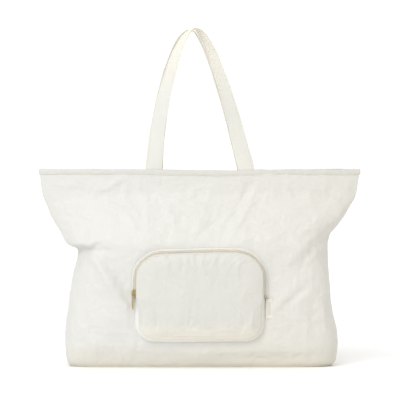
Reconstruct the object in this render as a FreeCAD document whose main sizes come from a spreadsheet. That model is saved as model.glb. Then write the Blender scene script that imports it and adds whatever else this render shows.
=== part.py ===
import FreeCAD, Part
import math
import os

import Sketcher
from FreeCAD import Matrix, Placement, Rotation, Vector

# Foldable tote bag: a boxed base, walls that flare into two flat wings at the mouth, a pair of
# straps and a zipped pouch on the front that the bag packs into.
# Frame: origin at the middle of the underside, +Z up, the front faces -Y, millimetres.

doc = FreeCAD.newDocument("tote")
sheet = doc.addObject("Spreadsheet::Sheet", "dims")

SIZES = [
    # walls: each level has a height, half width, half depth, side slope in degrees and corner radius
    ("cloth", 0.8, "thickness of the bag's cloth with its folds"),
    ("foot_wide", 223.5, "half width of the base"),
    ("foot_deep", 53.0, "half depth of the base"),
    ("foot_slope", 90.0, "slope of the side at the base"),
    ("foot_round", 20.0, "corner radius at the base"),
    ("belly_high", 36.0, "height of the widest part of the walls"),
    ("belly_wide", 231.0, "half width there"),
    ("belly_deep", 62.0, "half depth from the belly to the waist"),
    ("belly_slope", 90.0, "slope of the side there"),
    ("belly_round", 40.0, "corner radius there"),
    ("waist_high", 200.0, "height of the waist, where the sides fold in"),
    ("waist_wide", 214.5, "half width of the waist"),
    ("waist_slope", 64.0, "slope of the side at the waist"),
    ("waist_round", 45.0, "corner radius at the waist"),
    ("wing_high", 246.0, "height of the lower part of the wings"),
    ("wing_wide", 244.0, "half width there"),
    ("wing_deep", 45.0, "half depth there"),
    ("wing_slope", 32.0, "slope of the side there"),
    ("wing_round", 90.0, "corner radius there"),
    ("brim_high", 305.0, "height where the mouth's upright strip starts"),
    ("mouth_high", 335.0, "height of the mouth's edge"),
    ("mouth_wide", 271.0, "half width of the mouth"),
    ("mouth_deep", 18.0, "half depth of the mouth, a little open"),
    ("mouth_slope", 7.0, "slope of the side at the mouth"),
    ("mouth_round", 400.0, "corner radius at the mouth"),
    # bindings
    ("tape_thick", 0.4, "thickness of the binding tape on the mouth"),
    ("tape_cover", 8.5, "height of the mouth's edge that the tape covers"),
    ("seam_fin", 7.0, "width of the bound seam allowance inside"),
    ("seam_thick", 1.6, "thickness of a bound seam allowance"),
    ("seam_gap", 0.3, "clearance of a bound seam from the walls"),
    # straps
    ("strap_wide", 28.0, "width of a strap"),
    ("strap_thick", 1.6, "thickness of a strap"),
    ("strap_half", 78.0, "half distance between a strap's ends"),
    ("strap_drop", 237.0, "height of a strap's crown above the mouth"),
    ("strap_lean", -9.0, "sideways place of the front strap's crown"),
    ("strap_stagger", -5.0, "how far the back strap's crown is beside the front one"),
    ("strap_crown", 15.5, "distance of each strap's crown from the middle plane"),
    ("strap_gap", 0.6, "clearance between a strap's sewn end and its free loop"),
    ("tail_long", 26.0, "length of a strap's sewn end inside the mouth"),
    ("thread", 0.4, "how far a row of thread stands proud"),
    ("thread_wide", 0.9, "width of a row of thread"),
    ("tack_wide", 22.0, "width of the box of stitches on a strap's end"),
    ("tack_high", 14.0, "height of the box of stitches"),
    # pouch on the front
    ("pouch_half", 109.0, "half width of the pouch at its zip"),
    ("pouch_low", 43.0, "height of the pouch's lower edge"),
    ("pouch_top", 195.0, "height of the zip's upper run"),
    ("round_share", 0.31, "radius of the pouch's upper corners, as a share of its height"),
    ("pouch_foot", 32.0, "radius of the pouch's lower corners"),
    ("pouch_deep", 14.0, "how far the pouch stands out from the wall"),
    ("pouch_inset", 3.4, "how far the pouch's face is inside its zip line"),
    ("wall_gap", 0.3, "clearance between the pouch and the bag's wall"),
    ("lining", 0.6, "thickness of the pouch's lining"),
    # zip
    ("zip_tilt", 55.0, "turn of the zip's face away from straight forward, in degrees"),
    ("zip_share", 0.487, "height of both ends of the zip, as a share of the pouch's height"),
    ("zip_tape", 0.5, "thickness of a zip tape"),
    ("tape_out", 8.6, "reach of the outer tape from the zip's middle"),
    ("tape_in", 7.2, "reach of the inner tape from the zip's middle"),
    ("tape_split", 1.8, "gap between the tapes under the coils"),
    ("coil_wide", 2.5, "width of one coil"),
    ("coil_thick", 2.0, "thickness of the coils"),
    ("stop_long", 2.0, "length of a top stop"),
    # slider and pull
    ("slider_rest", 0.4, "room between the closed slider and the top stops"),
    ("slider_long", 12.0, "length of the slider"),
    ("slider_wide", 8.4, "width of the slider's front end"),
    ("slider_rear", 7.4, "width of the slider's rear end"),
    ("plate", 0.9, "thickness of the slider's plates"),
    ("slider_gap", 0.3, "clearance between the slider and the zip"),
    ("wedge_wide", 1.2, "width of the slider's wedge"),
    ("wedge_long", 3.0, "length of the slider's wedge"),
    ("bridge_half", 4.5, "half length of the slider's bridge"),
    ("bridge_wide", 2.2, "width of the bridge"),
    ("bridge_bar", 1.1, "thickness of the bridge"),
    ("bridge_clear", 2.4, "room under the bridge"),
    ("spring_leaf", 0.3, "thickness of the lock spring"),
    ("pull_long", 25.0, "length of the pull from its axle"),
    ("pull_wide", 5.4, "width of the pull"),
    ("pull_thick", 1.2, "thickness of the pull"),
    ("pull_slot", 3.2, "width of the pull's slot round the bridge"),
    ("pull_reach", 6.6, "how far that slot reaches from the axle"),
    ("axle_rise", 1.0, "height of the pull's axle above the slider"),
    ("axle_drop", 2.4, "distance of the axle from the slider's middle"),
    # label
    ("label_wide", 11.5, "how far the label stands out of its seam"),
    ("label_high", 34.0, "height of the label"),
    ("label_ply", 0.3, "thickness of one ply of the label"),
]

# sizes that follow from the ones above
TALL = "(pouch_top - pouch_low)"
FOLLOWING = [
    ("pouch_round", f"=round_share * {TALL}", "radius of the zip at the upper corners"),
    ("zip_end", f"=pouch_low + zip_share * {TALL}", "height of both ends of the zip"),
    ("stop_top", "=zip_end + slider_gap + stop_long", "height of the top stops' upper end"),
    ("slider_high", "=stop_top + slider_rest + slider_long / 2", "slider's middle, closed"),
]

CELLS = SIZES + FOLLOWING
for row, (alias, value, note) in enumerate(CELLS, 1):
    sheet.set(f"A{row}", note)
    sheet.set(f"B{row}", str(value))
    sheet.setAlias(f"B{row}", alias)
doc.recompute()


def dim(alias):
    """The value of one cell, as a plain number."""
    return float(getattr(sheet, alias))


def cells(text):
    """An expression written with bare aliases, turned into one that names the sheet."""
    for alias in (cell[0] for cell in CELLS):
        text = text.replace(f"<{alias}>", f"dims.{alias}")
    return text


known = {}


def number(text):
    """The present value of such an expression, worked out in a spare cell of the sheet."""
    if text not in known:
        filled = text
        for alias, _, _ in CELLS:
            filled = filled.replace(f"<{alias}>", f"({dim(alias)!r})")
        sheet.set("D1", "=" + filled)
        sheet.recompute()
        result = sheet.get("D1")
        known[text] = float(getattr(result, "Value", result))
    return known[text]


# ---------------------------------------------------------------- sketches


def new_body(label):
    body = doc.addObject("PartDesign::Body", label)
    body.Label = label
    return body


def plane_of(body, role):
    return next(f for f in body.Origin.OriginFeatures if f.Role == role)


def new_sketch(body, name, role="XY_Plane", lift=None, lift_text=None):
    """A sketch on one of the body's own planes, lifted along the plane's normal."""
    sketch = body.newObject("Sketcher::SketchObject", name)
    sketch.AttachmentSupport = [(plane_of(body, role), "")]
    sketch.MapMode = "FlatFace"
    if lift is not None:
        sketch.AttachmentOffset = Placement(Vector(0, 0, lift), Rotation())
    if lift_text is not None:
        sketch.setExpression("AttachmentOffset.Base.z", cells(lift_text))
    return sketch


def bind(sketch, constraint, text):
    """Adds a driving dimension and ties it to the sheet."""
    number_of = sketch.addConstraint(constraint)
    name = f"size{number_of}"
    sketch.renameConstraint(number_of, name)
    sketch.setExpression(f"Constraints.{name}", cells(text))


def closed_outline(sketch, pieces):
    """Lines and arcs, in order, joined end to end. Returns the first geometry number."""
    first = len(sketch.Geometry)
    sketch.addGeometry(pieces, False)
    return first


START, END, CENTRE = 1, 2, 3
ORIGIN_POINT = (-1, 1)
X_AXIS, Y_AXIS = -1, -2


def rounded_box(sketch, half_wide, low, high, radius_low, radius_high):
    """A box with round corners, symmetric about the sketch's upright axis.

    Every argument is an expression text. The two lower corners share one radius and the two
    upper corners another."""
    w, lo, hi = number(half_wide), number(low), number(high)
    rl, rh = number(radius_low), number(radius_high)
    corner = [
        (Vector(w - rl, lo + rl), rl, 270, 360),
        (Vector(w - rh, hi - rh), rh, 0, 90),
        (Vector(-w + rh, hi - rh), rh, 90, 180),
        (Vector(-w + rl, lo + rl), rl, 180, 270),
    ]
    up = Vector(0, 0, 1)
    arcs = [
        Part.ArcOfCircle(Part.Circle(c, up, r), math.radians(a), math.radians(b))
        for c, r, a, b in corner
    ]
    ends = [(arc.StartPoint, arc.EndPoint) for arc in arcs]
    lines = [Part.LineSegment(ends[i][1], ends[(i + 1) % 4][0]) for i in range(4)]
    order = [piece for pair in zip(arcs, lines) for piece in pair]
    g = closed_outline(sketch, order)
    rule = Sketcher.Constraint
    for i in range(8):
        sketch.addConstraint(rule("Tangent", g + i, END, g + (i + 1) % 8, START))
    # g+1 right side, g+3 top, g+5 left side, g+7 bottom
    sketch.addConstraint(rule("Vertical", g + 1))
    sketch.addConstraint(rule("Horizontal", g + 7))
    sketch.addConstraint(rule("Symmetric", g + 3, START, g + 3, END, Y_AXIS, 0))
    sketch.addConstraint(rule("Equal", g, g + 6))
    sketch.addConstraint(rule("Equal", g + 2, g + 4))
    bind(sketch, rule("Radius", g, rl), radius_low)
    bind(sketch, rule("Radius", g + 2, rh), radius_high)
    bind(sketch, rule("DistanceX", *ORIGIN_POINT, g + 1, START, w), half_wide)
    signed_height(sketch, (g + 7, START), lo, low)
    signed_height(sketch, (g + 3, START), hi, high)


def signed_height(sketch, point, value, text):
    """Sets the height of a point over the sketch's origin, on either side of it."""
    if abs(value) < 1e-9:
        sketch.addConstraint(Sketcher.Constraint("PointOnObject", *point, X_AXIS))
    elif value > 0:
        bind(
            sketch,
            Sketcher.Constraint("DistanceY", *ORIGIN_POINT, *point, value),
            text,
        )
    else:
        bind(
            sketch,
            Sketcher.Constraint("DistanceY", *point, *ORIGIN_POINT, -value),
            f"-({text})",
        )


def half_curve(wide, deep, slope, radius, side):
    """One wall's line seen from above: side, corner, long wall, corner, side."""
    angle = math.radians(slope)
    cut = radius * math.tan(angle / 2)
    corner_x = wide - deep / math.tan(angle)
    along = Vector(math.cos(angle), side * math.sin(angle))
    corner = Vector(-corner_x, side * deep)
    leave = corner - along * cut
    meet = corner + Vector(cut, 0)
    centre = Vector(meet.x, side * (deep - radius))
    circle = Part.Circle(centre, Vector(0, 0, 1), radius)
    quarter = math.pi / 2
    if side < 0:
        left = Part.ArcOfCircle(circle, 3 * quarter - angle, 3 * quarter)
    else:
        left = Part.ArcOfCircle(circle, quarter, quarter + angle)
    mirror = Vector(-centre.x, centre.y)
    circle = Part.Circle(mirror, Vector(0, 0, 1), radius)
    if side < 0:
        right = Part.ArcOfCircle(circle, 3 * quarter, 3 * quarter + angle)
    else:
        right = Part.ArcOfCircle(circle, quarter - angle, quarter)
    flip = lambda p: Vector(-p.x, p.y)  # noqa: E731
    return [
        Part.LineSegment(Vector(-wide, 0), leave),
        left,
        Part.LineSegment(meet, flip(meet)),
        right,
        Part.LineSegment(flip(leave), Vector(wide, 0)),
    ]


def wall_ring(sketch, level, side, out, inn):
    """Half of the wall's section at one level, between two offsets from its nominal line.

    level names four cells: half width, half depth, slope and radius. side is -1 for the front
    and +1 for the back. out and inn are texts of how far the two faces stand outside the line."""
    wide, deep, slope, radius = level
    rule = Sketcher.Constraint
    tips = []
    for offset in (out, inn):
        texts = [
            f"{wide} + ({offset}) / sin({slope} * 1 deg)",
            f"{deep} + ({offset})",
            slope,
            f"{radius} + ({offset})",
        ]
        w, d, a, r = (number(t) for t in texts)
        g = closed_outline(sketch, half_curve(w, d, a, r, side))
        arc_start, arc_end = (START, END) if side < 0 else (END, START)
        sketch.addConstraint(rule("Tangent", g, END, g + 1, arc_start))
        sketch.addConstraint(rule("Tangent", g + 1, arc_end, g + 2, START))
        sketch.addConstraint(rule("Tangent", g + 2, END, g + 3, arc_start))
        sketch.addConstraint(rule("Tangent", g + 3, arc_end, g + 4, START))
        sketch.addConstraint(rule("PointOnObject", g, START, X_AXIS))
        sketch.addConstraint(rule("Symmetric", g, START, g + 4, END, Y_AXIS, 0))
        sketch.addConstraint(rule("Symmetric", g + 2, START, g + 2, END, Y_AXIS, 0))
        sketch.addConstraint(rule("Equal", g + 1, g + 3))
        bind(sketch, rule("DistanceX", g, START, *ORIGIN_POINT, w), texts[0])
        if side < 0:
            bind(
                sketch, rule("DistanceY", g + 2, START, *ORIGIN_POINT, d), texts[1]
            )
        else:
            bind(
                sketch, rule("DistanceY", *ORIGIN_POINT, g + 2, START, d), texts[1]
            )
        bind(sketch, rule("Radius", g + 1, r), texts[3])
        turn = math.radians(a) * side
        bind(sketch, rule("Angle", g, turn), f"{side} * {slope} * 1 deg")
        tips.append((g, w))
    (g_out, w_out), (g_in, w_in) = tips
    seam = closed_outline(
        sketch,
        [
            Part.LineSegment(Vector(w_out, 0), Vector(w_in, 0)),
            Part.LineSegment(Vector(-w_in, 0), Vector(-w_out, 0)),
        ],
    )
    sketch.addConstraint(rule("Coincident", g_out + 4, END, seam, START))
    sketch.addConstraint(rule("Coincident", g_in + 4, END, seam, END))
    sketch.addConstraint(rule("Coincident", g_in, START, seam + 1, START))
    sketch.addConstraint(rule("Coincident", g_out, START, seam + 1, END))


def tilted_strip(sketch, start_x, start_y, angle, length, thick):
    """A rectangle whose long side starts at a point and runs at an angle, all as texts."""
    x, y = number(start_x), number(start_y)
    a, long, t = number(angle), number(length), number(thick)
    along = Vector(math.cos(math.radians(a)), math.sin(math.radians(a)))
    across = Vector(-along.y, along.x)
    p = Vector(x, y)
    corners = [p, p + along * long, p + along * long + across * t, p + across * t]
    g = closed_outline(
        sketch,
        [Part.LineSegment(corners[i], corners[(i + 1) % 4]) for i in range(4)],
    )
    rule = Sketcher.Constraint
    for i in range(4):
        sketch.addConstraint(rule("Coincident", g + i, END, g + (i + 1) % 4, START))
    sketch.addConstraint(rule("Perpendicular", g, g + 1))
    sketch.addConstraint(rule("Parallel", g, g + 2))
    sketch.addConstraint(rule("Parallel", g + 1, g + 3))
    bind(sketch, rule("Distance", g, long), length)
    bind(sketch, rule("Distance", g + 1, t), thick)
    bind(sketch, rule("Angle", g, math.radians(a)), f"{angle} * 1 deg")
    for kind, value, text in (("DistanceX", x, start_x), ("DistanceY", y, start_y)):
        if value >= 0:
            bind(sketch, rule(kind, *ORIGIN_POINT, g, START, value), text)
        else:
            bind(sketch, rule(kind, g, START, *ORIGIN_POINT, -value), f"-({text})")


def upright_box(sketch, middle, low, wide, high):
    """A plain rectangle standing on a height and centred on a distance, all as texts."""
    tilted_strip(sketch, f"{middle} - ({wide}) / 2", low, "0", wide, high)


def pad(body, sketch, length, both=False, flip=False, name="Pad"):
    feature = body.newObject("PartDesign::Pad", name)
    feature.Profile = sketch
    feature.setExpression("Length", cells(length))
    feature.Midplane = both
    feature.Reversed = flip
    sketch.Visibility = False
    return feature


def pocket(body, sketch, length, both=False, flip=False, name="Pocket"):
    before = body.Shape.Volume
    feature = body.newObject("PartDesign::Pocket", name)
    feature.Profile = sketch
    feature.setExpression("Length", cells(length))
    feature.Midplane = both
    feature.Reversed = flip
    sketch.Visibility = False
    doc.recompute()
    if body.Shape.Volume > before - 1e-6:
        raise RuntimeError(f"{body.Label}: {name} cuts nothing")
    return feature


def finish_body(body):
    doc.recompute()
    return body


# ---------------------------------------------------------------- walls and base

LEVELS = {
    "foot": ("<foot_wide>", "<foot_deep>", "<foot_slope>", "<foot_round>"),
    "belly": ("<belly_wide>", "<belly_deep>", "<belly_slope>", "<belly_round>"),
    "waist": ("<waist_wide>", "<belly_deep>", "<waist_slope>", "<waist_round>"),
    "wing": ("<wing_wide>", "<wing_deep>", "<wing_slope>", "<wing_round>"),
    "mouth": ("<mouth_wide>", "<mouth_deep>", "<mouth_slope>", "<mouth_round>"),
}
WALL_STEPS = [
    ("foot", "<cloth>"),
    ("belly", "<belly_high>"),
    ("waist", "<waist_high>"),
    ("wing", "<wing_high>"),
    ("mouth", "<brim_high>"),
    ("mouth", "<mouth_high>"),
]


def make_wall(label, side):
    """Half of the bag's walls, from the base to the mouth: one cut panel of cloth."""
    body = new_body(label)
    sketches = []
    for step, (level, height) in enumerate(WALL_STEPS):
        sketch = new_sketch(
            body, f"{label}_{level}{step}", lift=number(height), lift_text=height
        )
        wall_ring(sketch, LEVELS[level], side, "0", "-<cloth>")
        sketch.Visibility = False
        sketches.append(sketch)
    doc.recompute()
    loft = body.newObject("PartDesign::AdditiveLoft", f"{label}_loft")
    loft.Profile = sketches[0]
    loft.Sections = sketches[1:]
    loft.Ruled = True
    return finish_body(body)


def make_base():
    body = new_body("base_panel")
    sketch = new_sketch(body, "base_outline")
    rounded_box(
        sketch,
        "<foot_wide>",
        "-<foot_deep>",
        "<foot_deep>",
        "<foot_round>",
        "<foot_round>",
    )
    pad(body, sketch, "<cloth>", name="base_pad")
    return finish_body(body)


def make_base_binding():
    """The bound seam allowance that stands up inside, all round the base."""
    body = new_body("base_seam_binding")
    sketch = new_sketch(
        body,
        "base_binding_outline",
        lift=number("<cloth> + <seam_gap>"),
        lift_text="<cloth> + <seam_gap>",
    )
    for inset in (
        "(<cloth> + <seam_gap>)",
        "(<cloth> + <seam_gap> + <seam_thick>)",
    ):
        rounded_box(
            sketch,
            f"<foot_wide> - {inset}",
            f"-<foot_deep> + {inset}",
            f"<foot_deep> - {inset}",
            f"<foot_round> - {inset}",
            f"<foot_round> - {inset}",
        )
    pad(body, sketch, "<seam_fin>", name="base_binding_pad")
    return finish_body(body)


def make_mouth_binding(label, side):
    """A tape folded over the mouth's edge: a channel round the wall's own section."""
    body = new_body(label)
    foot = "<mouth_high> - <tape_cover>"
    sketch = new_sketch(body, f"{label}_outline", lift=number(foot), lift_text=foot)
    wall_ring(
        sketch, LEVELS["mouth"], side, "<tape_thick>", "-(<cloth> + <tape_thick>)"
    )
    pad(body, sketch, "<tape_cover> + <tape_thick>", name=f"{label}_pad")
    doc.recompute()
    groove = new_sketch(body, f"{label}_groove", lift=number(foot), lift_text=foot)
    wall_ring(groove, LEVELS["mouth"], side, "0", "-<cloth>")
    pocket(body, groove, "<tape_cover>", flip=True, name=f"{label}_channel")
    return finish_body(body)


def side_seam_outline():
    """Heights and half widths of the walls' inner face along the side seam."""
    points = []
    for level, height in WALL_STEPS:
        wide, _, slope, _ = LEVELS[level]
        inner = f"{wide} - <cloth> / sin({slope} * 1 deg)"
        points.append((number(inner), number(height)))
    return points


def make_side_binding(label, side):
    """The bound allowance of one side seam: a thin fin inside, trimmed to the compartment."""
    outline = side_seam_outline()
    low = dim("cloth") + 2 * dim("seam_gap") + dim("seam_fin")
    high = dim("brim_high") - dim("seam_gap")
    low_wide, high_wide = outline[0][0], outline[4][0]
    edge = [(low_wide, low)] + outline[1:4] + [(high_wide, high)]
    # the fin starts where the compartment is as deep as the fin is thick
    slopes = [dim(n) for n in ("foot_slope", "belly_slope", "waist_slope", "wing_slope")]
    slopes.append(dim("mouth_slope"))
    half = dim("seam_thick") / 2 + dim("seam_gap")
    outer = [
        (w - max(half / math.tan(math.radians(a)), 0) - dim("seam_gap"), h)
        for (w, h), a in zip(edge, slopes)
    ]
    inner = [(w - dim("seam_fin"), h) for w, h in outer]
    ring = [Vector(side * w, 0, h) for w, h in outer + inner[::-1]]
    face = Part.Face(Part.makePolygon(ring + ring[:1]))
    fin = doc.addObject("Part::Feature", label)
    fin.Label = label
    solid = face.extrude(Vector(0, dim("seam_thick"), 0))
    fin.Shape = solid
    fin.Placement = Placement(Vector(0, -dim("seam_thick") / 2, 0), Rotation())
    return fin


# ---------------------------------------------------------------- straps


def bezier(a, b, c, d, t):
    s = 1 - t
    return a * s**3 + b * (3 * s * s * t) + c * (3 * s * t * t) + d * t**3


def strap_stations(side, crown_x, steps=9):
    """Places and width directions of a strap from one end over its crown to the other.

    The strap leaves the mouth with its face to the front, turns a quarter on each leg and
    lies flat over its crown, so its width runs across the bag at the top."""
    base_z = dim("mouth_high") + dim("tape_thick") + dim("strap_gap")
    base_y = side * strap_plane()
    crown = Vector(crown_x, side * dim("strap_crown"), 0)
    crown.z = dim("mouth_high") + dim("strap_drop")
    handles = {
        -1: (Vector(2, 0, 84), Vector(-31, 0, 0)),
        1: (Vector(-16, 0, 64), Vector(29, 0, 0)),
    }
    legs = {}
    for hand, (leave, arrive) in handles.items():
        end = Vector(hand * dim("strap_half"), base_y, base_z)
        leg = []
        for i in range(steps + 1):
            t = math.sin(math.pi / 2 * i / steps)
            here = bezier(end, end + leave, crown + arrive, crown, t)
            near = bezier(end, end + leave, crown + arrive, crown, min(t + 1e-3, 1))
            last = bezier(end, end + leave, crown + arrive, crown, t - 1e-3)
            tangent = near - last
            tangent.normalize()
            leg.append((here, tangent * -hand, t))
        legs[hand] = leg
    left = [(p, t, turned(f)) for p, t, f in legs[-1]]
    right = [(p, t, 180 - turned(f)) for p, t, f in legs[1][:-1][::-1]]
    first = left[0]
    left[0] = (first[0], Vector(0, 0, 1), first[2])
    right[-1] = (right[-1][0], Vector(0, 0, -1), right[-1][2])
    return left + right


def turned(t):
    """Twist of a leg in degrees: quick at the foot, slower halfway, a full quarter at the crown."""
    return 146 * t - 184 * t**2 + 128 * t**3


def strap_plane():
    """Distance of a strap's middle from the bag's middle plane, behind the mouth's binding."""
    inside = dim("mouth_deep") - dim("cloth") - dim("tape_thick")
    return inside - dim("strap_thick") / 2


def make_strap(label, side):
    body = new_body(label)
    crown_x = dim("strap_lean")
    if side > 0:
        crown_x += dim("strap_stagger")
    sketches = []
    for i, (place, tangent, turn) in enumerate(strap_stations(side, crown_x)):
        # the section's own axes: width first, thickness second, then along the strap
        flat = Vector(0, side, 0)
        level = tangent.cross(flat)
        level.normalize()
        twist = math.radians(turn)
        sign = 1 if side < 0 else -1
        wide = level * math.cos(twist) + flat * (math.sin(twist) * sign)
        wide = wide - tangent * wide.dot(tangent)
        wide.normalize()
        thick = tangent.cross(wide)
        axes = Matrix(
            wide.x, thick.x, tangent.x, place.x,
            wide.y, thick.y, tangent.y, place.y,
            wide.z, thick.z, tangent.z, place.z,
            0, 0, 0, 1,
        )
        sketch = new_sketch(body, f"{label}_section{i}")
        sketch.AttachmentOffset = Placement(axes)
        tilted_strip(
            sketch,
            "-<strap_wide> / 2",
            "-<strap_thick> / 2",
            "0",
            "<strap_wide>",
            "<strap_thick>",
        )
        sketch.Visibility = False
        sketches.append(sketch)
    doc.recompute()
    loft = body.newObject("PartDesign::AdditiveLoft", f"{label}_loft")
    loft.Profile = sketches[0]
    loft.Sections = sketches[1:]
    loft.Ruled = True
    return finish_body(body)


def wall_sketch(body, name, offset):
    """A sketch on an upright plane parallel to the front, a distance in front of the middle."""
    return new_sketch(
        body, name, role="XZ_Plane", lift=number(offset), lift_text=offset
    )


def make_tails(label, side):
    """The two sewn ends of one strap, inside the mouth."""
    body = new_body(label)
    inner = "<mouth_deep> - <cloth> - <tape_thick>"
    sketch = wall_sketch(body, f"{label}_outline", f"{-side} * ({inner})")
    for hand in (-1, 1):
        upright_box(
            sketch,
            f"{hand} * <strap_half>",
            "<mouth_high> + <tape_thick> - <tail_long>",
            "<strap_wide>",
            "<tail_long>",
        )
    pad(body, sketch, "<strap_thick>", flip=side < 0, name=f"{label}_pad")
    return two_solids(body)


def two_solids(body):
    """Lets a body hold its solids apart, for pieces that come in pairs."""
    if hasattr(body, "AllowCompound"):
        body.AllowCompound = True
    return finish_body(body)


def make_stitching(label, side):
    """A sewn box with a cross in it for each strap end, as proud rows of thread."""
    body = new_body(label)
    if hasattr(body, "AllowCompound"):
        body.AllowCompound = True
    low = "(<mouth_high> - <tape_cover> - <thread_wide> - <tack_high>)"
    frame = wall_sketch(body, f"{label}_frame", f"{-side} * <mouth_deep>")
    for hand in (-1, 1):
        middle = f"{hand} * <strap_half>"
        upright_box(frame, middle, low, "<tack_wide>", "<tack_high>")
        upright_box(
            frame,
            middle,
            f"{low} + <thread_wide>",
            "<tack_wide> - 2 * <thread_wide>",
            "<tack_high> - 2 * <thread_wide>",
        )
    pad(body, frame, "<thread>", flip=side > 0, name=f"{label}_frame_pad")
    rise = math.degrees(
        math.atan2(
            dim("tack_high") - dim("thread_wide"), dim("tack_wide") - dim("thread_wide")
        )
    )
    cross = "sqrt((<tack_wide> - <thread_wide>)^2 + (<tack_high> - <thread_wide>)^2)"
    tilt = "atan((<tack_high> - <thread_wide>) / (<tack_wide> - <thread_wide>)) / 1 deg"
    for way in (1, -1):
        rows = wall_sketch(body, f"{label}_row{way}", f"{-side} * <mouth_deep>")
        for hand in (-1, 1):
            start_x = f"{hand} * <strap_half> - <tack_wide> / 2 + <thread_wide> / 2"
            start_y = f"{low} + <thread_wide> / 2"
            if way < 0:
                start_y = f"{low} + <tack_high> - <thread_wide> / 2"
            shift = math.radians(rise)
            half = dim("thread_wide") / 2
            start_x = f"{start_x} + {way * half * math.sin(shift):.6f}"
            start_y = f"{start_y} - {half * math.cos(shift):.6f}"
            tilted_strip(rows, start_x, start_y, f"({way} * {tilt})", cross, "<thread_wide>")
        pad(body, rows, "<thread>", flip=side > 0, name=f"{label}_row_pad{way}")
    return finish_body(body)


# ---------------------------------------------------------------- pouch and zip

WALL = "<belly_deep>"  # the bag's front wall is upright and flat from the belly to the waist
# the zip's middle is this far out from the wall: the outer tape comes back to it
ZIP_OUT = "(<wall_gap> + <zip_tape> + <tape_out> * sin(<zip_tilt> * 1 deg))"


def across(along, normal):
    """Texts of a point of the zip's section: how far outside the zip line, how far proud."""
    turn = "<zip_tilt> * 1 deg"
    outside = f"(({along}) * cos({turn}) + ({normal}) * sin({turn}))"
    proud = f"({ZIP_OUT} - ({along}) * sin({turn}) + ({normal}) * cos({turn}))"
    return outside, proud


def arch_path(body, name, left_low, right_low):
    """The zip's line: up the left side, over the top and down the right side."""
    sketch = wall_sketch(body, name, WALL)
    w, top, r = dim("pouch_half"), dim("pouch_top"), dim("pouch_round")
    zl, zr = number(left_low), number(right_low)
    up = Vector(0, 0, 1)
    quarter = math.pi / 2
    left = Part.ArcOfCircle(
        Part.Circle(Vector(-w + r, top - r), up, r), quarter, 2 * quarter
    )
    right = Part.ArcOfCircle(Part.Circle(Vector(w - r, top - r), up, r), 0, quarter)
    g = closed_outline(
        sketch,
        [
            Part.LineSegment(Vector(-w, zl), Vector(-w, top - r)),
            left,
            Part.LineSegment(Vector(-w + r, top), Vector(w - r, top)),
            right,
            Part.LineSegment(Vector(w, top - r), Vector(w, zr)),
        ],
    )
    rule = Sketcher.Constraint
    sketch.addConstraint(rule("Tangent", g, END, g + 1, END))
    sketch.addConstraint(rule("Tangent", g + 1, START, g + 2, START))
    sketch.addConstraint(rule("Tangent", g + 2, END, g + 3, END))
    sketch.addConstraint(rule("Tangent", g + 3, START, g + 4, START))
    sketch.addConstraint(rule("Vertical", g))
    sketch.addConstraint(rule("Symmetric", g + 2, START, g + 2, END, Y_AXIS, 0))
    sketch.addConstraint(rule("Equal", g + 1, g + 3))
    bind(sketch, rule("Radius", g + 1, r), "<pouch_round>")
    bind(sketch, rule("DistanceX", g, START, *ORIGIN_POINT, w), "<pouch_half>")
    bind(sketch, rule("DistanceY", *ORIGIN_POINT, g + 2, START, top), "<pouch_top>")
    bind(sketch, rule("DistanceY", *ORIGIN_POINT, g, START, zl), left_low)
    bind(sketch, rule("DistanceY", *ORIGIN_POINT, g + 4, END, zr), right_low)
    sketch.Visibility = False
    return sketch


def sweep(body, path, section, name):
    pipe = body.newObject("PartDesign::AdditivePipe", name)
    pipe.Profile = section
    pipe.Spine = (path, [f"Edge{i + 1}" for i in range(len(path.Shape.Edges))])
    pipe.Mode = "Frenet"
    pipe.Transition = "Transformed"
    section.Visibility = False
    return finish_body(body)


def make_zip_strip(label, left_low, right_low, near, far, base, thick):
    """A strip of the zip that follows its line, between two distances across the zip."""
    body = new_body(label)
    path = arch_path(body, f"{label}_path", left_low, right_low)
    section = new_sketch(
        body, f"{label}_section", lift=number(left_low), lift_text=left_low
    )
    outside, proud = across(near, base)
    length = f"({far}) - ({near})"
    tilted_strip(
        section,
        f"-<pouch_half> - {outside}",
        f"-{WALL} - {proud}",
        "(180 - <zip_tilt>)",
        length,
        f"{thick}",
    )
    doc.recompute()
    return sweep(body, path, section, f"{label}_pipe")


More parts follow.
